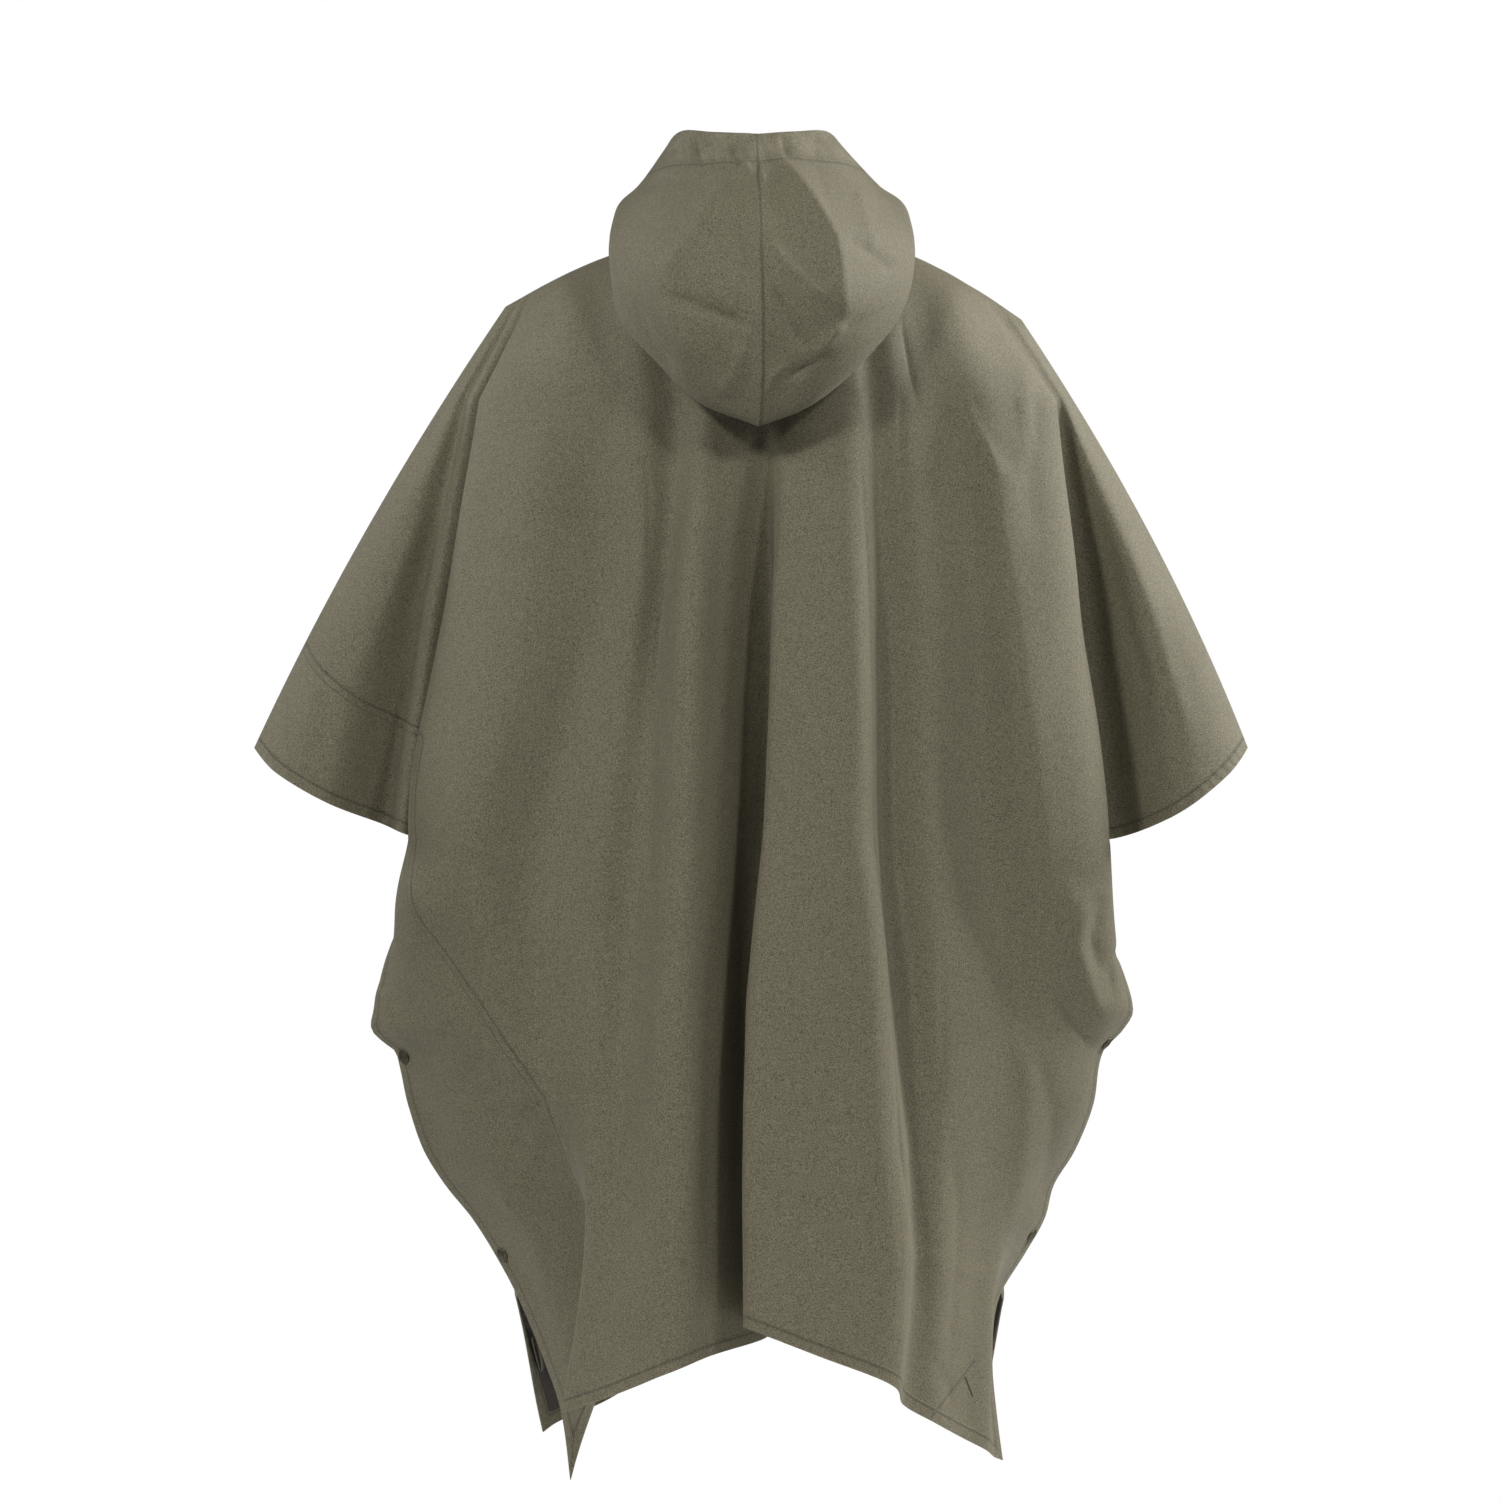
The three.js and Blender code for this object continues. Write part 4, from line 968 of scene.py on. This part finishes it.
def cloth_finish(name, colours, sizes, coated):
    """The coated cloth: its woven face, or its dark coating with the turned hem in the face's colour."""
    f = Finish(name)
    edge, along = f.mark("edge"), f.mark("edge_along")
    seam, seam_along = f.mark("seam"), f.mark("seam_along")
    cloud, grain = f.noise(7.0, 3.0), f.noise(900.0, 2.0, 0.7)
    scuff = f.noise(38.0, 5.0, 0.62)
    slub = f.slubs(260.0, 9.0)
    hem, length = sizes.hem_width, sizes.stitch_length
    border = edge.step(hem + 0.0009, hem + 0.0003)
    thread = stitch_line(edge, along, hem - ROW_IN_HEM, length)
    thread = thread.most(stitch_line(seam, seam_along, ROW_BESIDE_SEAM, length))
    groove = stitch_groove(edge, hem - ROW_IN_HEM).most(stitch_groove(seam, ROW_BESIDE_SEAM))
    groove = groove.most(stitch_groove(seam, 0.0))
    patch, slit = (f.within(name, math.dist(*CORNER[name]) * MM) for name in ("patch", "slit"))
    thread = thread.most(stitch_line(f.mark("patch"), f.mark("patch_along"), 0.0, length) * patch)
    gap = f.mark("slit").absolute().step(*SLIT) * slit
    groove = groove.most(stitch_groove(f.mark("patch"), 0.0) * patch).most(gap)
    worn = edge.step(0.0025, 0.0002) * scuff.step(0.35, 0.7)
    near_hem = edge.step(hem + 0.006, hem - 0.004)
    puckers = (along * (2 * math.pi / PUCKER_PITCH) + cloud * 30.0).wave() * near_hem
    face = f.blend(worn * 0.55, (*colours.cloth, 1), (*colours.worn_cloth, 1))
    if coated:
        face = f.blend(border, (*colours.coating, 1), face)
    face = f.blend(thread * 0.8, face, (*colours.thread, 1))
    tone = cloud * 0.12 + scuff * 0.10 + grain * 3.5 + slub * 0.60 - 1.16
    # Painted shade: the colour is darkened in the stitch grooves and in the corner's slit, where shade falls;
    # the grooves are also dented in the height below.
    tone = tone * (1 - groove * 0.42) * (1 - gap * 0.8)
    height = (weave(f) * 0.10 + grain * 0.26 + slub * 0.30 + puckers * 0.28 + border * 0.8 - groove * 0.55
              + thread * 0.6 + scuff * 0.12)
    rough = 0.60 + grain * 0.14 - cloud * 0.06
    if coated:
        rough = rough - (1 - border) * 0.16
    f.surface(f.shaded(face, tone), rough, height, 0.0007, IOR=1.46, Sheen_Weight=0.12, Sheen_Roughness=0.45)


def metal_finish(colours):
    """Dull paint on metal, rubbed through in places."""
    f = Finish("snap_metal")
    scuff, cloud, grain = f.noise(260.0, 4.0, 0.65), f.noise(90.0, 2.0), f.noise(1500.0, 2.0)
    worn = scuff.step(0.5, 0.72)
    face = f.blend(worn * 0.7, (*colours.snap, 1), (*colours.worn_snap, 1))
    rough = 0.52 - worn * 0.16 + grain * 0.1
    f.surface(f.shaded(face, 0.8 + cloud * 0.4), rough, scuff * 0.5 + grain * 0.2, 0.00025, Metallic=0.75)


def tape_finish(colours):
    """Matt tape with slanting ribs."""
    f = Finish("tape_web")
    across, down = f.across_and_down()
    ribs = ((across + down) * (2 * math.pi / RIB_PITCH)).wave()
    grain = f.noise(1200.0, 2.0)
    face = f.blend(ribs.step(-0.4, 0.6) * 0.5, (*colours.tape, 1), (*colours.cloth, 1))
    f.surface(f.shaded(face, 0.8 + grain * 0.3), 0.78 + grain * 0.1, ribs * 0.5 + grain * 0.3, 0.0004,
              Sheen_Weight=0.2)


# ---- Sizes and colours that a user may change ----


def length(name, description, default, **more):
    return bpy.props.FloatProperty(
        name=name, description=description, default=default, min=0.0, unit="LENGTH", precision=4, **more)


def colour(name, description, default):
    return bpy.props.FloatVectorProperty(
        name=name, description=description, default=default, min=0.0, max=1.0, size=3, subtype="COLOR")


class PonchoSizes(bpy.types.PropertyGroup):
    """Sizes of the cloth's fine form."""

    crease_depth: bpy.props.FloatProperty(
        name="Crease depth", description="How deep the creases are, against their tables", default=1.0, min=0.0,
        subtype="FACTOR")
    swell_depth: length("Swell depth", "Height of the slow swells between the creases", 0.0009)
    hem_width: length("Hem width", "Width of the turned hems", 0.012)
    channel_width: length("Channel width", "From the hood's rim to the channel's stitching", 0.050)
    stitch_length: length("Stitch length", "From one stitch to the next", 0.0034)
    snap_radius: length("Snap radius", "Radius of a snap's cap", 0.0074)
    snap_rise: length("Snap rise", "Height of a snap's cap", 0.0024)


class PonchoColours(bpy.types.PropertyGroup):
    """Colours of the cloth, the metal and the room."""

    cloth: colour("Cloth", "The woven face", (0.152, 0.139, 0.095))
    worn_cloth: colour("Worn cloth", "The face where an edge has rubbed", (0.235, 0.222, 0.165))
    coating: colour("Coating", "The dark coating inside", (0.046, 0.036, 0.036))
    thread: colour("Thread", "The stitching", (0.200, 0.188, 0.135))
    snap: colour("Snap", "The painted metal", (0.088, 0.082, 0.058))
    worn_snap: colour("Worn snap", "The metal where paint has rubbed off", (0.33, 0.31, 0.25))
    tape: colour("Tape", "The hanging loop", (0.135, 0.128, 0.085))
    floor: colour("Floor", "Floor and backdrop", (0.93, 0.93, 0.93))


# ---- Pieces ----

CLOTH_SIDES = ("cloth_face", "cloth_coating")


class PONCHO_OT_finishes(bpy.types.Operator):
    """Makes the cloth, coating, metal and tape finishes"""

    bl_idname = "poncho.finishes"
    bl_label = "Finishes"
    bl_options = {"REGISTER", "UNDO"}

    def execute(self, context):
        colours, sizes = context.scene.poncho_colours, context.scene.poncho_sizes
        cloth_finish("cloth_face", colours, sizes, False)
        cloth_finish("cloth_coating", colours, sizes, True)
        metal_finish(colours)
        tape_finish(colours)
        return {"FINISHED"}


def body_paths(table, grid):
    """The hemmed edge of a panel from cuff to cuff, and the line of the strip's seam."""
    cuff, strip = CUFF_ROW * FINE["rows"], STRIP_ROW * FINE["rows"]
    first, last = fine_column(table, "edge"), fine_column(table, "edge", RIGHT_LINES)
    seam = fine_column(table, "seam")
    edge = np.concatenate([
        grid[cuff, : first + 1], grid[cuff + 1 :, first], grid[-1, first + 1 : last],
        grid[: cuff : -1, last], grid[cuff, last:]])
    seam_path = np.concatenate([grid[strip, : seam + 1], grid[strip + 1 :, seam]])
    return {"edge": edge, "seam": seam_path}, strip, seam


class PONCHO_OT_panels(bpy.types.Operator):
    """Makes the body cloth and the side strip, behind and in front"""

    bl_idname = "poncho.panels"
    bl_label = "Body and side strip"
    bl_options = {"REGISTER", "UNDO"}

    def execute(self, context):
        for side, table in (("back", BACK), ("front", FRONT)):
            grid, normals = surfaces()[side]
            paths, strip, seam = body_paths(table, grid)
            marks = marked(grid, paths, column_at(table, 0))
            if side == "back":
                for name, (start, end) in CORNER.items():
                    marks.update(line_marks(grid, name, start, end))
            cells = solid_cells(grid)
            rows, columns = np.indices(cells.shape)
            in_strip = (rows >= strip) & (columns < seam)
            for name, own in ((f"body_{side}", ~in_strip), (f"side_strip_{side}", in_strip)):
                # The strip's seam is a lap stitched on the body's side.
                own_marks = dict(marks, seam=marks["seam"] + OFF_SEAM["strip"]) if own is in_strip else marks
                obj = cloth_object(name + "_cloth", grid, normals, cells & own, own_marks, CLOTH_SIDES)
                settle_piece(obj, solids(name))
        return {"FINISHED"}


class PONCHO_OT_hood(bpy.types.Operator):
    """Makes the two halves of the hood and the channel along its rim"""

    bl_idname = "poncho.hood"
    bl_label = "Hood"
    bl_options = {"REGISTER", "UNDO"}

    def execute(self, context):
        for name in ("left", "right"):
            grid, normals = surfaces()["hood_" + name]
            paths = {"edge": grid[-1], "seam": grid[:, 0]}
            marks = marked(grid, paths, 0)
            sizes = context.scene.poncho_sizes
            marks["edge"] = marks["edge"] - (sizes.channel_width - sizes.hem_width + ROW_IN_HEM) / MM
            marks["seam"] = marks["seam"] + OFF_SEAM[name]
            cells = solid_cells(grid)
            rows, _ = np.indices(cells.shape)
            half = cloth_object(f"hood_{name}_cloth", grid, normals, cells, marks, CLOTH_SIDES)
            in_channel = cells & (rows >= CHANNEL_ROW)
            channel = cloth_object(
                f"hood_channel_{name}_cloth", grid - normals * LAYER, normals, in_channel, marks,
                ("cloth_face", "cloth_face"))
            for obj, start in ((half, "hood"), (channel, "hood_channel")):
                settle_piece(obj, solids(f"{start}_{name}"))
        return {"FINISHED"}


def turned(bm, profile, sides=48):
    """Adds a part turned round its axis from a profile of radius and height pairs, in millimetres."""
    verts = [bm.verts.new(Vector((r, 0, h)) * MM) for r, h in profile]
    edges = [bm.edges.new(pair) for pair in zip(verts[:-1], verts[1:])]
    bmesh.ops.spin(bm, geom=verts + edges, cent=(0, 0, 0), axis=(0, 0, 1), angle=2 * math.pi, steps=sides,
                   use_merge=True)


def cap_profile(radius, base, top):
    return [
        (0, base - 0.5), (radius - 0.5, base - 0.5), (radius - 0.1, base - 0.2), (radius, base + 0.35),
        (radius - 0.15, base + 0.9), (radius - 0.7, base + 1.35), (radius - 1.4, base + 1.5),
        (radius - 1.75, base + 1.42), (radius - 2.2, base + 1.6), (radius * 0.45, top - 0.12),
        (radius * 0.2, top), (0, top + 0.02)]


def collar_profile(low, high):
    wide = SNAP_PARTS["collar_radius"]
    return [(0, low), (5.1, low), (wide, low + 0.3), (wide, high - 0.3), (5.1, high), (0, high)]


def plate_profile(under):
    return [
        (0, under - 1.2), (3.0, under - 1.2), (3.4, under - 0.9), (4.2, under - 0.8), (5.6, under - 1.1),
        (6.2, under - 0.9), (SNAP_PARTS["plate_radius"], under - 0.4), (6.2, under), (0, under)]


class PONCHO_OT_snaps(bpy.types.Operator):
    """Makes the four fastened snaps, each a cap, a collar between the cloths and a plate inside"""

    bl_idname = "poncho.snaps"
    bl_label = "Snaps"
    bl_options = {"REGISTER", "UNDO"}

    def execute(self, context):
        sizes = context.scene.poncho_sizes
        back, back_normals = surfaces()["back"]
        front, front_normals = surfaces()["front"]
        below = CUFF_ROW * FINE["rows"] + 1
        for side, level, z in SNAPS:
            start, step = (0, 1) if side == "left" else (RIGHT_LINES, -1)
            edge = fine_column(BACK, "edge", start)
            r = below + int(np.argmax(back[below:, edge, 2] <= z)) - 1
            row = r + (back[r, edge, 2] - z) / (back[r, edge, 2] - back[r + 1, edge, 2])
            centres, axes = inside_edge(back, back_normals, edge, step, row, [SNAP_PARTS["inset"]])
            centre, axis = centres[0], axes[0]

            def heights(grid, normals, half, radius):
                points = (grid + normals * half).reshape(-1, 3) - centre
                up = points @ axis
                away = np.linalg.norm(points - up[:, None] * axis, axis=1)
                return up[(np.abs(up) < 12) & (away < radius + 1.5)]

            radius, rise = sizes.snap_radius / MM, sizes.snap_rise / MM
            base = heights(back, back_normals, CLOTH / 2, radius).max() + 0.1
            top = base + rise
            low = heights(front, front_normals, CLOTH / 2, SNAP_PARTS["collar_radius"]).max() + 0.1
            high = heights(back, back_normals, -CLOTH / 2, SNAP_PARTS["collar_radius"]).min() - 0.1
            under = heights(front, front_normals, -CLOTH / 2, SNAP_PARTS["plate_radius"]).min() - 0.1
            bm = bmesh.new()
            for profile in (cap_profile(radius, base, top), collar_profile(low, high), plate_profile(under)):
                turned(bm, profile)
            bmesh.ops.remove_doubles(bm, verts=bm.verts, dist=1e-6)
            bmesh.ops.recalc_face_normals(bm, faces=bm.faces)
            turn = Vector((0, 0, 1)).rotation_difference(Vector(axis)).to_matrix()
            bmesh.ops.rotate(bm, verts=bm.verts, cent=(0, 0, 0), matrix=turn)
            bmesh.ops.translate(bm, verts=bm.verts, vec=Vector(centre) * MM)
            for f in bm.faces:
                f.smooth = True
            for e in bm.edges:
                if len(e.link_faces) == 2 and e.calc_face_angle(0) > 0.7:
                    e.smooth = False
            name = f"snap_{side}_{level}_metal"
            obj = add_object(name, mesh_of(bm, name, ["snap_metal"]))
            settle_piece(obj, [f"snap_{part}_{side}_{level}" for part in ("cap", "collar", "plate")])
        return {"FINISHED"}


class PONCHO_OT_tape(bpy.types.Operator):
    """Makes the loop of tape inside the front's left corner"""

    bl_idname = "poncho.tape"
    bl_label = "Tape loop"
    bl_options = {"REGISTER", "UNDO"}

    def execute(self, context):
        front, normals = surfaces()["front"]
        coarse = front[:: FINE["rows"], :: FINE["columns"]]
        edge = line_column(FRONT, find_line(FRONT, "edge")) + 1
        r = CUFF_ROW + 1 + int(np.argmax(coarse[CUFF_ROW + 1 :, edge, 2] <= TAPE["z"])) - 1
        here = coarse[r, edge]
        normal = normals[r * FINE["rows"], edge * FINE["columns"]]
        across = coarse[r, edge + 1] - here
        across /= np.linalg.norm(across)
        down = coarse[r + 1, edge] - here
        down /= np.linalg.norm(down)
        turn = np.linspace(0, math.pi, 61)[:, None, None]
        s = np.linspace(0, 1, 7)[None, :, None]
        grid = (here + across * (TAPE["from"] + TAPE["width"] * s) + down * TAPE["length"] * np.sin(turn)
                - normal * (TAPE["behind"] + TAPE["open"] * (1 - np.cos(turn)) / 2))
        facing = grid_normals(grid, 1)
        marks = {"uv": cut_map(grid, 3)}
        obj = cloth_object(
            "tape_loop_web", grid, facing, solid_cells(grid), marks, ("tape_web", "tape_web"), thickness=1.0)
        settle_piece(obj, ["tape_loop"])
        return {"FINISHED"}


class PONCHO_OT_stage(bpy.types.Operator):
    """Makes the floor, the lights and the camera"""

    bl_idname = "poncho.stage"
    bl_label = "Stage"
    bl_options = {"REGISTER", "UNDO"}

    def execute(self, context):
        f = Finish("floor_paper")
        floor = context.scene.poncho_colours.floor
        f.shader.inputs["Base Color"].default_value = (*floor, 1)
        f.shader.inputs["Roughness"].default_value = FLOOR["roughness"]
        bm = bmesh.new()
        bmesh.ops.create_circle(bm, cap_ends=True, segments=96, radius=FLOOR["radius"])
        bmesh.ops.translate(bm, verts=bm.verts, vec=(0, 0, FLOOR["z"]))
        add_object("studio_floor", mesh_of(bm, "studio_floor", ["floor_paper"]))
        world = bpy.data.worlds.new("studio")
        world.use_nodes = True
        tree = world.node_tree
        room, output = tree.nodes["Background"], tree.nodes["World Output"]
        room.inputs["Color"].default_value = ROOM
        room.inputs["Strength"].default_value = ROOM_LIGHT
        paper = tree.nodes.new("ShaderNodeBackground")
        paper.inputs["Color"].default_value = (1, 1, 1, 1)
        paper.inputs["Strength"].default_value = 1.0
        ray, join = tree.nodes.new("ShaderNodeLightPath"), tree.nodes.new("ShaderNodeMixShader")
        tree.links.new(ray.outputs["Is Camera Ray"], join.inputs[0])
        tree.links.new(room.outputs[0], join.inputs[1])
        tree.links.new(paper.outputs[0], join.inputs[2])
        tree.links.new(join.outputs[0], output.inputs["Surface"])
        context.scene.world = world
        for name, at, size, power in LIGHTS:
            light = bpy.data.lights.new(name, "AREA")
            light.energy, light.size, light.color = power, size, LAMP
            lamp = add_object(name, light)
            lamp.location = at
            lamp.rotation_euler = (Vector(LOOK_AT) - Vector(at)).to_track_quat("-Z", "Y").to_euler()
        camera = bpy.data.cameras.new("photo_camera")
        camera.lens, camera.sensor_width, camera.clip_end = LENS, SENSOR, 100
        eye = add_object("photo_camera", camera)
        eye.location = (SIGHT["x"] * MM, -SIGHT["distance"] * MM, SIGHT["z"] * MM)
        eye.rotation_euler = (math.pi / 2, 0, 0)
        context.scene.camera = eye
        context.scene.view_settings.view_transform = "Standard"
        return {"FINISHED"}


class PONCHO_PT_panel(bpy.types.Panel):
    """Lists the poncho's sizes, colours and pieces"""

    bl_label = "Rain poncho"
    bl_idname = "PONCHO_PT_panel"
    bl_space_type = "VIEW_3D"
    bl_region_type = "UI"
    bl_category = "Poncho"

    def draw(self, context):
        for group in (context.scene.poncho_sizes, context.scene.poncho_colours):
            box = self.layout.box()
            for name in group.__annotations__:
                box.prop(group, name)
        for operator in OPERATORS:
            self.layout.operator(operator.bl_idname)


OPERATORS = (
    PONCHO_OT_finishes, PONCHO_OT_panels, PONCHO_OT_hood, PONCHO_OT_snaps, PONCHO_OT_tape, PONCHO_OT_stage)
CLASSES = (PonchoSizes, PonchoColours, *OPERATORS, PONCHO_PT_panel)


def register():
    for cls in CLASSES:
        bpy.utils.register_class(cls)
    bpy.types.Scene.poncho_sizes = bpy.props.PointerProperty(type=PonchoSizes)
    bpy.types.Scene.poncho_colours = bpy.props.PointerProperty(type=PonchoColours)


def unregister():
    del bpy.types.Scene.poncho_colours
    del bpy.types.Scene.poncho_sizes
    for cls in reversed(CLASSES):
        bpy.utils.unregister_class(cls)


def main():
    register()
    bpy.ops.poncho.finishes()
    bpy.ops.poncho.panels()
    bpy.ops.poncho.hood()
    bpy.ops.poncho.snaps()
    bpy.ops.poncho.tape()
    bpy.ops.poncho.stage()


if __name__ == "__main__":
    main()
